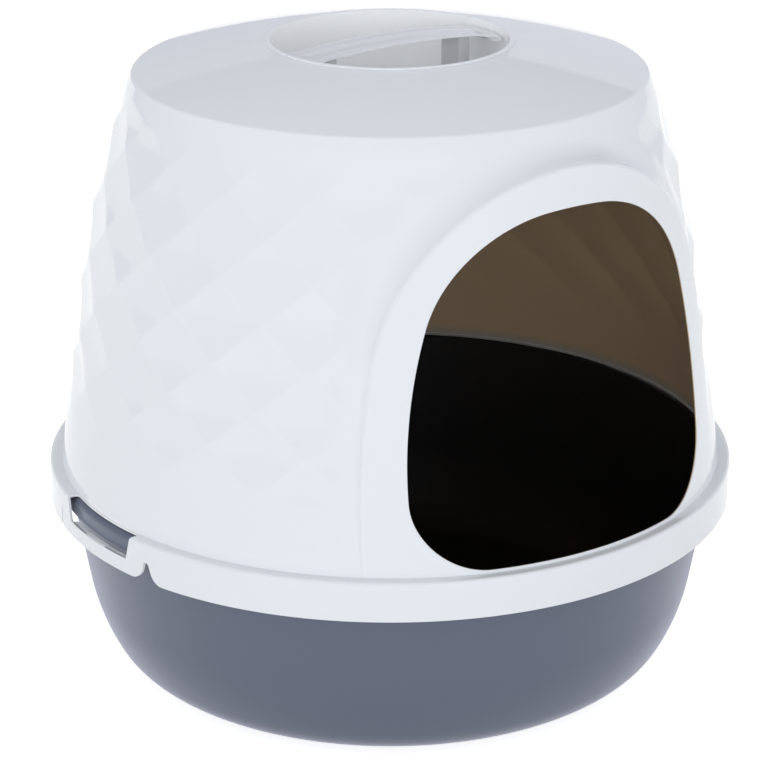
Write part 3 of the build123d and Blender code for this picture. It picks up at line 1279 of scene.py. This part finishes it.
    def build(self) -> dict[RimPart, bpy.types.Object]:
        """Build the rim and the two tabs.

        Returns:
            Each piece's object.
        """
        outer, inner, marks = self.grid()
        section, _ = self.section()
        rows, count = outer.shape[:2]
        owners = [
            [self.owner(section[row], *marks[column]) for column in range(count)]
            for row in range(rows - 1)
        ]
        points = np.concatenate([outer.reshape(-1, 3), inner.reshape(-1, 3)])
        made = {}
        for part in (RimPart.HOOD, RimPart.LEFT_TAB, RimPart.RIGHT_TAB):
            faces, surfaces = self.faces_of(part, owners, rows, count)
            used = sorted({number for face in faces for number in face})
            fresh = {number: place for place, number in enumerate(used)}
            kept = points[used]
            renamed = [tuple(fresh[number] for number in face) for face in faces]
            if part is not RimPart.HOOD:
                side = 1 if part is RimPart.RIGHT_TAB else -1
                for wedge in (self.shelf, self.hook):
                    more, more_faces = self.wedge_shape(side, wedge)
                    renamed += [tuple(number + len(kept) for number in face) for face in more_faces]
                    kept = np.vstack([kept, more])
                surfaces = [Surface.OUTSIDE] * len(renamed)
            made[part] = Mesh(part.value, kept, renamed, surfaces, sharp_angle=self.cut_angle).make()
            self.soften(made[part])
        return made

    def faces_of(
        self, part: RimPart, owners: list[list[RimPart]], rows: int, count: int
    ) -> tuple[list[tuple[int, ...]], list[Surface]]:
        """Faces of one piece: its outer skin, its inner skin and the cut edges between them.

        Args:
            part: The piece.
            owners: Which piece each patch belongs to.
            rows: Number of rows of points.
            count: Number of columns of points.

        Returns:
            The faces, as numbers of the grids' points, and the surface that each belongs to.
        """
        deep = rows * count
        faces = []
        surfaces = []
        for row in range(rows - 1):
            for column in range(count):
                if owners[row][column] is not part:
                    continue
                ahead = (column + 1) % count
                upper = (row * count + column, row * count + ahead)
                lower = (upper[0] + count, upper[1] + count)
                faces.append((lower[0], lower[1], upper[1], upper[0]))
                faces.append((upper[0] + deep, upper[1] + deep, lower[1] + deep, lower[0] + deep))
                # The inner skin takes the inside finish, which is painted shade.
                surfaces += [Surface.OUTSIDE, Surface.INSIDE]
                if row == 0 or owners[row - 1][column] is not part:
                    faces.append((upper[0], upper[1], upper[1] + deep, upper[0] + deep))
                if row == rows - 2 or owners[row + 1][column] is not part:
                    faces.append((lower[1], lower[0], lower[0] + deep, lower[1] + deep))
                if owners[row][column - 1] is not part:
                    faces.append((lower[0], upper[0], upper[0] + deep, lower[0] + deep))
                if owners[row][ahead] is not part:
                    faces.append((upper[1], lower[1], lower[1] + deep, upper[1] + deep))
                # Cut faces in the top row, along the ledge's inner edge, take the painted-shade inside
                # finish too.
                cut = Surface.INSIDE if row == 0 else Surface.OUTSIDE
                surfaces += [cut] * (len(faces) - len(surfaces))
        return faces, surfaces

    def wedge_shape(self, side: int, wedge: Wedge) -> tuple[np.ndarray, list[tuple[int, ...]]]:
        """The points and faces of a wedge, which runs along the inside of a tab.

        Args:
            side: 1 at the right of the box, -1 at the left.
            wedge: Its sizes.

        Returns:
            Its points and faces.
        """
        top = self.window_foot + wedge.rise
        root = self.form.rim_radius - self.skin / 2
        profile = [
            (wedge.tip_radius, top),
            (root, top),
            (root, top - wedge.height),
            (self.form.rim_radius - self.skin - self.wedge_lap, top - wedge.height),
            (wedge.tip_radius, top - self.wedge_tip),
        ]
        count = math.ceil(wedge.width / self.wedge_step)
        points = []
        for sideways in np.linspace(-wedge.width / 2, wedge.width / 2, count):
            for radius, level in profile:
                points.append((side * math.sqrt(radius**2 - sideways**2), sideways, level))
        faces = prism_faces(len(profile), count)
        if side < 0:
            faces = [face[::-1] for face in faces]
        return np.array(points), faces

    def soften(self, made: bpy.types.Object) -> None:
        """Round the cut edges a little, but not the line at which a tab bends.

        Args:
            made: The rim or a tab.
        """
        mesh = made.data
        weights = mesh.attributes.new("bevel_weight_edge", "FLOAT", "EDGE")
        normals: dict[tuple[int, int], list[Vector]] = {}
        for polygon in mesh.polygons:
            for pair in polygon.edge_keys:
                normals.setdefault(pair, []).append(polygon.normal.copy())
        flex = self.flex_z * METRES
        for edge in mesh.edges:
            sides = normals.get(tuple(sorted(edge.vertices)), [])
            if len(sides) != 2 or sides[0].angle(sides[1], 0.0) < math.radians(self.cut_angle):
                continue
            if all(abs(mesh.vertices[number].co.z - flex) < NEAR for number in edge.vertices):
                continue
            weights.data[edge.index].value = 1.0
        bevel = made.modifiers.new("edges", "BEVEL")
        bevel.limit_method = "WEIGHT"
        bevel.width = self.edge_round * METRES
        bevel.segments = self.edge_segments
        bevel.harden_normals = True


# Carry handle
@dataclass(frozen=True)
class CarryHandle:
    """The thin arched grip bar across the recess, with wide ends along its side, on two posts."""

    form: HoodForm = HoodForm()
    width: float = 30.0
    thickness: float = 2.8
    arch_radius: float = 600.0
    edge_thickness: float = 1.2
    edge_round: float = 0.5
    edge_step: float = 0.1
    underside_slope: float = 6.5
    sink: float = 0.3
    straight: float = 56.5
    flare_radius: float = 10.0
    end_reach: float = 76.4
    end_arc_radius: float = 54.0
    bead_inset: float = 5.2
    bead_slope: float = 1.0
    groove_width: float = 2.4
    groove_depth: float = 0.4
    groove_shares: tuple[float, float, float] = (0.35, 1.0, 0.8)
    crown: float = 0.55
    crown_shares: tuple[float, ...] = (0.2, 0.45, 0.7, 0.87, 1.0)
    most_inset: float = 0.9
    middle_share: float = 0.97
    middle_flare: float = 0.6
    straight_points: int = 18
    flare_points: int = 10
    tip_points: int = 5
    plain_end_points: int = 8
    end_points: int = 14
    post_centre: float = 52.0
    post_width: float = 21.0
    post_thickness: float = 8.8
    post_round: float = 1.5
    post_feet: tuple[tuple[float, float], ...] = ((1.2, 1.0), (0.0, 1.05), (-0.4, 0.6), (-5.0, 0.6))

    @property
    def top_z(self) -> float:
        """Height of the bar's top at its middle."""
        return self.form.lip_z - self.sink

    def drop(self, distance: float) -> float:
        """How far the arched bar has fallen at a distance from its middle, along it."""
        return self.arch_radius - math.sqrt(self.arch_radius**2 - distance**2)

    def outline(self, flared: bool) -> np.ndarray:
        """A quarter of the bar seen from above, from the middle of a long edge to the middle of its end.

        Args:
            flared: Whether the edge turns out to a wide end, as it does at the front.

        Returns:
            Points as (x, y).
        """
        half = self.width / 2
        centre_x = self.end_reach - self.end_arc_radius
        points = [(x, half) for x in np.linspace(0.0, self.straight, self.straight_points)]
        if flared:
            for angle in np.radians(np.linspace(0, 90, self.flare_points + 1)[1:]):
                out = self.flare_radius * (1 - math.cos(angle))
                points.append((self.straight + self.flare_radius * math.sin(angle), half + out))
            end_x = self.straight + self.flare_radius
            tip_y = math.sqrt(self.end_arc_radius**2 - (end_x - centre_x) ** 2)
            more = np.linspace(half + self.flare_radius, tip_y, self.tip_points)[1:]
            points += [(end_x, y) for y in more]
        else:
            end_x = centre_x + math.sqrt(self.end_arc_radius**2 - half**2)
            tip_y = half
            more = np.linspace(self.straight, end_x, self.plain_end_points)[1:]
            points += [(x, half) for x in more]
        tip = math.atan2(tip_y, end_x - centre_x)
        for angle in np.linspace(tip, 0.0, self.end_points)[1:]:
            out = self.end_arc_radius * math.sin(angle)
            points.append((centre_x + self.end_arc_radius * math.cos(angle), out))
        return np.array(points)

    def inner_line(self, outline: np.ndarray) -> np.ndarray:
        """The line down the bar's middle towards which its outline shrinks.

        Args:
            outline: A quarter of the bar's outline.

        Returns:
            One point for each point of the outline.
        """
        most = self.straight + self.flare_radius * self.middle_flare
        x = np.minimum(outline[:, 0] * self.middle_share, most)
        return np.stack([x, np.zeros(len(outline))], axis=1)

    def section(self) -> list[tuple[float, float]]:
        """The bar's section from its lower edge over the edge and the bead to the far side of the groove.

        Returns:
            Each point's distance from the edge and its depth below the bead's top.
        """
        profile = [(0.0, self.edge_thickness), (0.0, self.edge_round + self.edge_step)]
        for angle in np.radians(np.linspace(0, 90, CORNER_STEPS + 1)):
            back = self.edge_round * (1 - math.cos(angle))
            profile.append((back, self.edge_round * (1 - math.sin(angle))))
        profile.append((self.bead_inset - self.bead_slope, 0.0))
        places = (0.0, self.groove_width / 2, self.groove_width)
        for place, share in zip(places, self.groove_shares):
            profile.append((self.bead_inset + place, self.groove_depth * share))
        return profile

    def build_bar(self) -> Mesh:
        """Build the bar as rings that shrink from its edge to its middle line, over the top and under it.

        Returns:
            The bar's mesh.
        """
        profile = self.section()
        reach, groove_end = profile[-1]
        rows = [(inset, 0.0, low) for inset, low in profile]
        for share in self.crown_shares:
            rows.append((reach, share, groove_end - self.crown * (1 - (1 - share) ** 2)))
        rows += [(reach, 1.0, self.thickness), (self.underside_slope, 0.0, self.thickness)]
        quarters = [self.outline(flared=False), self.outline(flared=True)]
        sheet = Sheet()
        rings = []
        for inset, step, low in rows:
            shrunk = []
            for quarter in quarters:
                middle = self.inner_line(quarter)
                apart = np.maximum(np.linalg.norm(quarter - middle, axis=1, keepdims=True), NEAR)
                start = np.minimum(inset / apart, self.most_inset)
                share = start + (1 - start) * step
                shrunk.append(quarter * (1 - share) + middle * share)
            loop = self.whole_loop(*shrunk)
            points = [(x, y, self.top_z - self.drop(abs(x)) - low) for x, y in loop]
            rings.append(sheet.add(np.array(points)))
        for ring, following in zip(rings, rings[1:] + rings[:1]):
            sheet.strip(ring, following, closed=True)
        return Mesh("carry_handle", np.array(sheet.points), sheet.faces)

    def whole_loop(self, back: np.ndarray, front: np.ndarray) -> np.ndarray:
        """The closed outline, anticlockwise from the middle of the right end, made from two quarters."""
        return np.vstack([back[::-1], back[1:] * MIRROR, front[-2::-1] * -1.0, front[1:-1] * -MIRROR])

    def post(self, side: int) -> tuple[np.ndarray, list[tuple[int, ...]]]:
        """One post, from inside the bar down through the recess's floor.

        Args:
            side: 1 at the right, -1 at the left.

        Returns:
            Its points and faces.
        """
        corners = []
        half_x = self.post_thickness / 2 - self.post_round
        half_y = self.post_width / 2 - self.post_round
        for turn, (sign_x, sign_y) in enumerate(((1, 1), (-1, 1), (-1, -1), (1, -1))):
            for step in range(CORNER_STEPS + 1):
                angle = math.radians(90 * turn + 90 * step / CORNER_STEPS)
                x = sign_x * half_x + self.post_round * math.cos(angle)
                corners.append((x, sign_y * half_y + self.post_round * math.sin(angle)))
        floor = self.form.lip_z - self.form.cup_depth
        top = self.top_z - self.drop(self.post_centre) - self.thickness / 2
        rings = [(top, 1.0), *((floor + rise, share) for rise, share in self.post_feet)]
        points = []
        for height, share in rings:
            points += [(side * self.post_centre + x * share, y * share, height) for x, y in corners]
        return np.array(points), prism_faces(len(corners), len(rings))

    def build(self) -> bpy.types.Object:
        """Build the bar with its posts as one moulding.

        Returns:
            The handle's object.
        """
        made = self.build_bar()
        made.surfaces = [Surface.OUTSIDE] * len(made.faces)
        for side in (-1, 1):
            points, faces = self.post(side)
            # The posts take the grey post finish, which is painted shade under the bar.
            made.surfaces += [Surface.INSIDE] * len(faces)
            made.faces += [tuple(number + len(made.points) for number in face) for face in faces]
            made.points = np.vstack([made.points, points])
        return made.make()


# Litter pan
@dataclass(frozen=True)
class LitterPan:
    """The open pan: a flat floor, two arcs and a straight run up to the mouth, and a turned-down lip."""

    form: HoodForm = HoodForm()
    wall: float = 2.5
    lip_radius: float = 225.2
    lip_width: float = 5.0
    lip_drop: float = 12.0
    lip_round: float = 4.0
    lip_root_round: float = 1.2
    lip_foot_round: float = 0.7
    edge_round: float = 0.9
    corner_radius: float = 38.6
    corner_angle: float = 61.2
    side_radius: float = 131.7
    side_angle: float = 19.0
    clear_of_lip: float = 0.5
    inside_margin: float = 0.05
    arc_step: float = 2.5
    run_step: float = 5.0
    round_steps: int = 6
    segments: int = 288

    def curve(self, base_radius: float, inset: float) -> np.ndarray:
        """The side from the edge of the floor up to the mouth, moved inwards by an inset.

        Args:
            base_radius: Radius of the flat floor.
            inset: How far the curve lies inside the pan's outside.

        Returns:
            Points as (radius, height).
        """
        arcs = [
            (self.corner_radius - inset, self.corner_angle),
            (self.side_radius - inset, self.side_angle),
        ]
        points, headings = walk_arcs((base_radius, inset), 0.0, arcs, self.arc_step)
        left = self.form.pan_height - points[-1][1]
        run = np.linspace(0, left, max(3, int(left / self.run_step)))[1:, None]
        slope = np.array([[1 / math.tan(headings[-1]), 1.0]])
        return np.vstack([points, points[-1] + run * slope])

    def section(self) -> tuple[np.ndarray, int]:
        """The pan's section, from the middle of its underside round the lip to the middle of its floor.

        Returns:
            Points as (radius, height), and how many of them belong to the outside.
        """
        top = self.form.pan_height
        base_radius = self.lip_radius - self.lip_width - self.curve(0.0, 0.0)[-1][0]
        whole = self.curve(base_radius, 0.0)
        inner = self.curve(base_radius, self.wall)
        outer = whole[whole[:, 1] < top - self.wall - self.clear_of_lip]
        below = self.lip_radius - self.wall
        lip = np.array(
            [
                (np.interp(top - self.wall, *whole[:, ::-1].T), top - self.wall),
                (below, top - self.wall),
                (below, top - self.lip_drop),
                (self.lip_radius, top - self.lip_drop),
                (self.lip_radius, top),
                tuple(inner[-1]),
                tuple(inner[-2]),
            ]
        )
        foot = self.lip_foot_round
        rounds = {1: self.lip_root_round, 2: foot, 3: foot, 4: self.lip_round, 5: self.edge_round}
        lip = round_corners(lip, rounds, steps=self.round_steps)[:-1]
        outside = np.vstack([[(0.0, 0.0)], outer, lip])
        inside = np.vstack([inner[-2::-1], [(0.0, self.wall)]])
        is_within = lip[:, 0] < self.lip_radius - self.lip_round - self.inside_margin
        over_the_top = is_within & (lip[:, 1] > top - self.wall / 2)
        return np.vstack([outside, inside]), len(outside) - int(over_the_top.sum())

    def build(self) -> bpy.types.Object:
        """Turn the section about the axis.

        Returns:
            The pan's object.
        """
        section, outside = self.section()
        azimuths = full_turn(self.segments)
        sheet = Sheet()
        rings = [sheet.ring(radius, height, azimuths) for radius, height in section]
        surfaces: list[Surface] = []
        for place, (ring, following) in enumerate(zip(rings, rings[1:]), start=1):
            sheet.strip(ring, following, closed=True)
            # Faces inside the pan, from just within the rounded top of its lip, take the near-black inside
            # finish, which is painted shade.
            side = Surface.OUTSIDE if place < outside else Surface.INSIDE
            surfaces += [side] * (len(sheet.faces) - len(surfaces))
        return Mesh("litter_pan_body", np.array(sheet.points), sheet.faces, surfaces).make()


# Finishes
Value = float | tuple[float, ...] | bpy.types.NodeSocket
COLOUR_A = 6
COLOUR_B = 7
COLOUR_RESULT = 2


class Wiring:
    """The nodes of a material or of the surroundings, and the links between them."""

    def __init__(self, tree: bpy.types.NodeTree) -> None:
        """Keep the tree's nodes and links."""
        self.nodes = tree.nodes
        self.links = tree.links

    def put(self, socket: bpy.types.NodeSocket, value: Value) -> None:
        """Fill an input socket.

        Args:
            socket: The socket.
            value: A number, a colour or a vector that it keeps, or another node's output to link to it.
        """
        if isinstance(value, bpy.types.NodeSocket):
            self.links.new(value, socket)
        else:
            socket.default_value = value

    def add(self, kind: str, inputs: dict[str | int, Value] | None = None) -> bpy.types.Node:
        """Add a node.

        Args:
            kind: The node's type, without the words that every type starts with.
            inputs: What its input sockets hold, by their names or places.

        Returns:
            The node.
        """
        made = self.nodes.new(f"ShaderNode{kind}")
        for name, value in (inputs or {}).items():
            self.put(made.inputs[name], value)
        return made

    def noise(self, place: Value, scale: float, detail: float) -> Value:
        """Soft noise from 0 to 1."""
        return self.add("TexNoise", {"Vector": place, "Scale": scale, "Detail": detail}).outputs["Fac"]

    def ramp(
        self,
        value: Value,
        across: tuple[float, float],
        levels: tuple[Value, Value],
        curve: str = "LINEAR",
    ) -> Value:
        """Turn a value into a level between two others.

        Args:
            value: The value.
            across: The values at which the ramp starts and ends.
            levels: The levels there.
            curve: The kind of ramp.

        Returns:
            The level.
        """
        made = self.add("MapRange", {"Value": value})
        made.interpolation_type = curve
        ends = ("From Min", "From Max", "To Min", "To Max")
        for name, level in zip(ends, (*across, *levels)):
            self.put(made.inputs[name], level)
        return made.outputs["Result"]

    def mix(self, share: Value, first: Value, second: Value) -> Value:
        """A number between two others, which takes a share of the second."""
        return self.add("Mix", {"Factor": share, "A": first, "B": second}).outputs["Result"]

    def mix_colours(self, share: Value, first: Value, second: Value) -> Value:
        """A colour between two others.

        Args:
            share: How much of the second it takes.
            first: The first colour, as three parts or as an output.
            second: The second colour, likewise.

        Returns:
            The mixed colour.
        """
        made = self.add("Mix")
        made.data_type = "RGBA"
        self.put(made.inputs["Factor"], share)
        for place, colour in ((COLOUR_A, first), (COLOUR_B, second)):
            self.put(made.inputs[place], (*colour, 1.0) if isinstance(colour, tuple) else colour)
        return made.outputs[COLOUR_RESULT]

    def number(self, operation: str, first: Value, second: Value) -> Value:
        """The result of a sum or a product.

        Args:
            operation: What is done with the two numbers.
            first: The first number.
            second: The second number.

        Returns:
            The result.
        """
        made = self.add("Math", {0: first, 1: second})
        made.operation = operation
        return made.outputs["Value"]

    def towards(self, place: Value, course: tuple[float, float, float]) -> Value:
        """How far a direction points along a course.

        Args:
            place: The direction.
            course: The course.

        Returns:
            1 where they agree, 0 where they are square to one another.
        """
        made = self.add("VectorMath", {0: place, 1: course})
        made.operation = "DOT_PRODUCT"
        return made.outputs["Value"]

    def height(self, place: Value) -> Value:
        """The upright part of a place or a direction."""
        return self.add("SeparateXYZ", {"Vector": place}).outputs["Z"]


@dataclass(frozen=True)
class Plastic:
    """Moulded plastic, with the faint unevenness of a moulded face, and if asked a band of painted shade
    low down.
    """

    name: str
    colour: tuple[float, float, float]
    roughness: float
    roughness_spread: float
    shade_spread: float = 0.006
    wave_scale: float = 9.0
    wave_height: float = 0.0005
    wave_detail: float = 3.0
    grain_scale: float = 1500.0
    grain_height: float = 0.000004
    grain_detail: float = 2.0
    sheen: float = 0.0
    sheen_colour: tuple[float, float, float] = (1.0, 1.0, 1.0)
    sheen_roughness: float = 0.3
    # A band low down in another colour, painted shade, used on the hood's inside next to the pan.
    foot_painted_shade: tuple[float, float, float] | None = None
    foot_painted_shade_heights: tuple[float, float] = (0.143, 0.151)

    def shade(self, share: float) -> tuple[float, float, float]:
        """The colour with all its parts made brighter or darker."""
        return tuple(min(1.0, part * share) for part in self.colour)

    def make(self) -> bpy.types.Material:
        """Make the material.

        Returns:
            The material.
        """
        material = bpy.data.materials.new(self.name)
        material.use_nodes = True
        wiring = Wiring(material.node_tree)
        place = wiring.add("TexCoord").outputs["Object"]
        wave = wiring.noise(place, self.wave_scale, self.wave_detail)
        grain = wiring.noise(place, self.grain_scale, self.grain_detail)
        levels = (self.roughness - self.roughness_spread, self.roughness + self.roughness_spread)
        pale = self.shade(1 + self.shade_spread)
        colour = wiring.mix_colours(grain, self.shade(1 - self.shade_spread), pale)
        # Below the given heights the colour fades to the band's colour, which is painted shade.
        if self.foot_painted_shade is not None:
            above = wiring.ramp(wiring.height(place), self.foot_painted_shade_heights, (0.0, 1.0))
            colour = wiring.mix_colours(above, self.foot_painted_shade, colour)
        swell = wiring.add("Bump", {"Distance": self.wave_height, "Height": wave})
        pores = wiring.add("Bump", {"Distance": self.grain_height, "Height": grain})
        wiring.put(pores.inputs["Normal"], swell.outputs["Normal"])
        finish = {
            "Base Color": colour,
            "Roughness": wiring.ramp(wave, (0.0, 1.0), levels),
            "Normal": pores.outputs["Normal"],
            "Sheen Weight": self.sheen,
            "Sheen Tint": (*self.sheen_colour, 1.0),
            "Sheen Roughness": self.sheen_roughness,
        }
        shader = wiring.nodes["Principled BSDF"]
        for name, value in finish.items():
            wiring.put(shader.inputs[name], value)
        return material


@dataclass(frozen=True)
class PanPlastic(Plastic):
    """The pan's plastic, with a coarser grain than the hood's."""

    shade_spread: float = 0.04
    wave_scale: float = 12.0
    wave_height: float = 0.0004
    grain_scale: float = 2200.0
    grain_height: float = 0.00002


WHITE_GLOSS = Plastic("hood_white_gloss", (0.855, 0.875, 0.905), 0.045, 0.01)
HANDLE_WHITE = Plastic("handle_white", (0.77, 0.785, 0.81), 0.08, 0.015, wave_height=0.0003)
# The hood's white plastic again, made paler for the handle recess: painted light that lifts the recess out
# of its shade.
RECESS_PAINTED_LIGHT = Plastic("recess_painted_light", (0.96, 0.965, 0.975), 0.1, 0.02)
# The handle's white plastic, greyed: painted shade on the posts under the bar.
POST_PAINTED_SHADE = Plastic("handle_post_painted_shade", (0.56, 0.565, 0.575), 0.2, 0.03, shade_spread=0.01)
# The hood's inside is the same white plastic; this dark brown is painted shade, and the greyer band at its
# foot is painted shade where the wall meets the pan.
HOOD_INSIDE_PAINTED_SHADE = Plastic(
    "hood_inside_painted_shade",
    (0.62, 0.47, 0.305),
    0.4,
    0.04,
    shade_spread=0.01,
    grain_height=0.00001,
    foot_painted_shade=(0.4, 0.41, 0.4),
)
PAN_GREY = PanPlastic(
    "pan_grey_satin", (0.112, 0.131, 0.184), 0.3, 0.04, sheen=1.0, sheen_colour=(0.82, 0.82, 1.0)
)
# The pan's inside is the same grey plastic; this near black is painted shade.
PAN_INSIDE_PAINTED_SHADE = PanPlastic("pan_inside_painted_shade", (0.012, 0.011, 0.011), 0.5, 0.04)


# Studio
@dataclass(frozen=True)
class Lamp:
    """A soft rectangular lamp aimed at a point."""

    name: str = "top_softbox"
    place: tuple[float, float, float] = (-0.3, 1.0, 2.4)
    aim: tuple[float, float, float] = (0.0, 0.0, 0.2)
    size: tuple[float, float] = (2.2, 1.6)
    power: float = 5.0

    def make(self) -> bpy.types.Object:
        """Make the lamp.

        Returns:
            The lamp's object.
        """
        light = bpy.data.lights.new(self.name, "AREA")
        light.shape = "RECTANGLE"
        light.size, light.size_y = self.size
        light.energy = self.power
        made = bpy.data.objects.new(self.name, light)
        made.location = self.place
        course = Vector(self.aim) - Vector(self.place)
        made.rotation_euler = course.to_track_quat("-Z", "Y").to_euler()
        bpy.context.scene.collection.objects.link(made)
        return made


@dataclass(frozen=True)
class Camera:
    """The camera, which stands where the photograph was taken from."""

    place: tuple[float, float, float] = (-1.0060, -1.4637, 0.8639)
    heading: float = 34.5
    pitch: float = 21.03
    focal_length: float = 129.64
    sensor_width: float = 36.0
    clip_start: float = 0.05
    clip_end: float = 60.0

    def make(self) -> bpy.types.Object:
        """Make the camera and look through it.

        Returns:
            The camera's object.
        """
        camera = bpy.data.cameras.new("camera")
        camera.sensor_width = self.sensor_width
        camera.lens = self.focal_length
        camera.clip_start = self.clip_start
        camera.clip_end = self.clip_end
        made = bpy.data.objects.new("camera", camera)
        made.location = self.place
        made.rotation_euler = (math.radians(90 - self.pitch), 0.0, math.radians(-self.heading))
        bpy.context.scene.collection.objects.link(made)
        bpy.context.scene.camera = made
        return made


@dataclass(frozen=True)
class Floor:
    """A plain pale floor that keeps the box's soft shadow."""

    size: float = 14.0
    colour: tuple[float, float, float] = (0.9, 0.9, 0.9)
    camera_glow: float = 0.75
    gloss_glow: float = 0.5

    def dress(self, mesh: bpy.types.Mesh) -> None:
        """Give the floor its matt white, with a glow for the camera and for reflections.

        Args:
            mesh: The floor's mesh.
        """
        material = bpy.data.materials.new("studio_floor")
        material.use_nodes = True
        wiring = Wiring(material.node_tree)
        wiring.nodes.clear()
        matt = wiring.add("BsdfDiffuse", {"Color": (*self.colour, 1.0)})
        path = wiring.add("LightPath")
        seen = wiring.number("MULTIPLY", path.outputs["Is Camera Ray"], self.camera_glow)
        reflected = wiring.number("MULTIPLY", path.outputs["Is Glossy Ray"], self.gloss_glow)
        glow = wiring.add("Emission", {"Strength": wiring.number("ADD", seen, reflected)})
        total = wiring.add("AddShader", {0: matt.outputs["BSDF"], 1: glow.outputs["Emission"]})
        wiring.add("OutputMaterial", {"Surface": total.outputs["Shader"]})
        mesh.materials.append(material)

    def build(self) -> None:
        """Lay the floor."""
        half = self.size / 2
        mesh = bpy.data.meshes.new("floor")
        corners = [(-half, -half, 0.0), (half, -half, 0.0), (half, half, 0.0), (-half, half, 0.0)]
        mesh.from_pydata(corners, [], [(0, 1, 2, 3)])
        floor = bpy.data.objects.new("floor", mesh)
        bpy.context.scene.collection.objects.link(floor)
        self.dress(mesh)


@dataclass(frozen=True)
class Surround:
    """Plain white surroundings, which gloss sees as white low down and greyer above."""

    low_white: float = 0.8
    front_white: float = 2.15
    front_azimuth: float = -36.0
    high_white: float = 0.58
    white_step: tuple[float, float] = (0.36, 0.44)
    right_gloss: float = 0.86
    left_gloss: float = 0.68
    left_azimuth: float = -50.0
    left_step: tuple[float, float] = (-0.05, 0.3)
    high_gloss: float = 0.46
    gloss_step: tuple[float, float] = (0.36, 0.38)
    plain_tint: tuple[float, float, float] = (0.955, 0.975, 1.0)
    gloss_tint: tuple[float, float, float] = (0.87, 0.885, 1.0)
    white: tuple[float, float, float] = (1.0, 1.0, 1.0)

    def build(self) -> None:
        """Surround the box: pure white for the camera, softer levels for light and for gloss."""
        world = bpy.data.worlds.new("studio")
        bpy.context.scene.world = world
        world.use_nodes = True
        wiring = Wiring(world.node_tree)
        course = wiring.add("TexCoord").outputs["Generated"]
        up = wiring.height(course)
        front = math.radians(self.front_azimuth)
        left = math.radians(self.left_azimuth)
        ahead = wiring.towards(course, (math.sin(front), -math.cos(front), 0.0))
        aside = wiring.towards(course, (math.sin(left), math.cos(left), 0.0))
        ease = "SMOOTHSTEP"
        low = wiring.ramp(ahead, (0.0, 1.0), (self.low_white, self.front_white), ease)
        soft = wiring.ramp(up, self.white_step, (low, self.high_white), ease)
        low_gloss = wiring.ramp(aside, self.left_step, (self.right_gloss, self.left_gloss), ease)
        crisp = wiring.ramp(up, self.gloss_step, (low_gloss, self.high_gloss), ease)
        path = wiring.add("LightPath")
        is_gloss = path.outputs["Is Glossy Ray"]
        is_seen = path.outputs["Is Camera Ray"]
        tint = wiring.mix_colours(is_gloss, self.plain_tint, self.gloss_tint)
        background = wiring.nodes["Background"].inputs
        wiring.put(background["Color"], wiring.mix_colours(is_seen, tint, self.white))
        wiring.put(background["Strength"], wiring.mix(is_seen, wiring.mix(is_gloss, soft, crisp), 1.0))


@dataclass(frozen=True)
class Studio:
    """The floor, the lamp, the surroundings and the camera."""

    camera: Camera = Camera()
    floor: Floor = Floor()
    surround: Surround = Surround()
    lamp: Lamp = Lamp()

    def build(self) -> None:
        """Build the studio."""
        bpy.context.scene.view_settings.view_transform = "Standard"
        self.camera.make()
        self.floor.build()
        self.surround.build()
        self.lamp.make()


# Whole box
@dataclass(frozen=True)
class LitterBox:
    """The whole box: hood, rim, tabs, handle and pan, each on the body it moves with."""

    form: HoodForm = HoodForm()
    facets: Facets = Facets()
    porch: Porch = Porch()
    entrance: Entrance = Entrance()

    def dress(self, made: bpy.types.Object, finishes: list[bpy.types.Material], slot: str) -> None:
        """Give a piece its finishes and log it.

        Args:
            made: The piece.
            finishes: Its materials, in the order of the surfaces.
            slot: The name of the slot; not used.
        """
        for finish in finishes:
            made.data.materials.append(finish)
        LOG.info("%s: %d faces, %s", made.name, len(made.data.polygons), finishes[0].name)

    def build(self) -> None:
        """Build every piece, and set it on its body in the place of its solid."""
        white = WHITE_GLOSS.make()
        # The hood's inner faces take a dark brown finish that is painted shade; its recess takes a paler
        # white that is painted light.
        inside = HOOD_INSIDE_PAINTED_SHADE.make()
        shell = HoodShell(self.form, self.facets, self.porch, self.entrance).build()
        self.dress(shell, [white, inside, RECESS_PAINTED_LIGHT.make()], "hood_white")
        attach(shell, "hood")
        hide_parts("hood")
        rim = RimBand(self.form).build()
        bodies = {RimPart.HOOD: "hood", RimPart.LEFT_TAB: "left_tab", RimPart.RIGHT_TAB: "right_tab"}
        stands_for = {
            RimPart.HOOD: "hood",
            RimPart.LEFT_TAB: "left_snap_tab",
            RimPart.RIGHT_TAB: "right_snap_tab",
        }
        for part, made in rim.items():
            self.dress(made, [white, inside], "hood_white")
            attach(made, bodies[part])
            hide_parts(stands_for[part])
        handle = CarryHandle(self.form).build()
        # The posts' grey is painted shade.
        self.dress(handle, [HANDLE_WHITE.make(), POST_PAINTED_SHADE.make()], "hood_white")
        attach(handle, "hood")
        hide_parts("carry_handle")
        pan = LitterPan(self.form).build()
        # The pan's near-black inside is painted shade.
        self.dress(pan, [PAN_GREY.make(), PAN_INSIDE_PAINTED_SHADE.make()], "pan_grey")
        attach(pan, "pan")
        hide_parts("litter_pan")


def main() -> None:
    """Load the frame, dress the box on it and set the studio round it."""
    logging.basicConfig(level=logging.INFO, format="%(name)s: %(message)s")
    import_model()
    LitterBox().build()
    Studio().build()


if __name__ == "__main__":
    main()
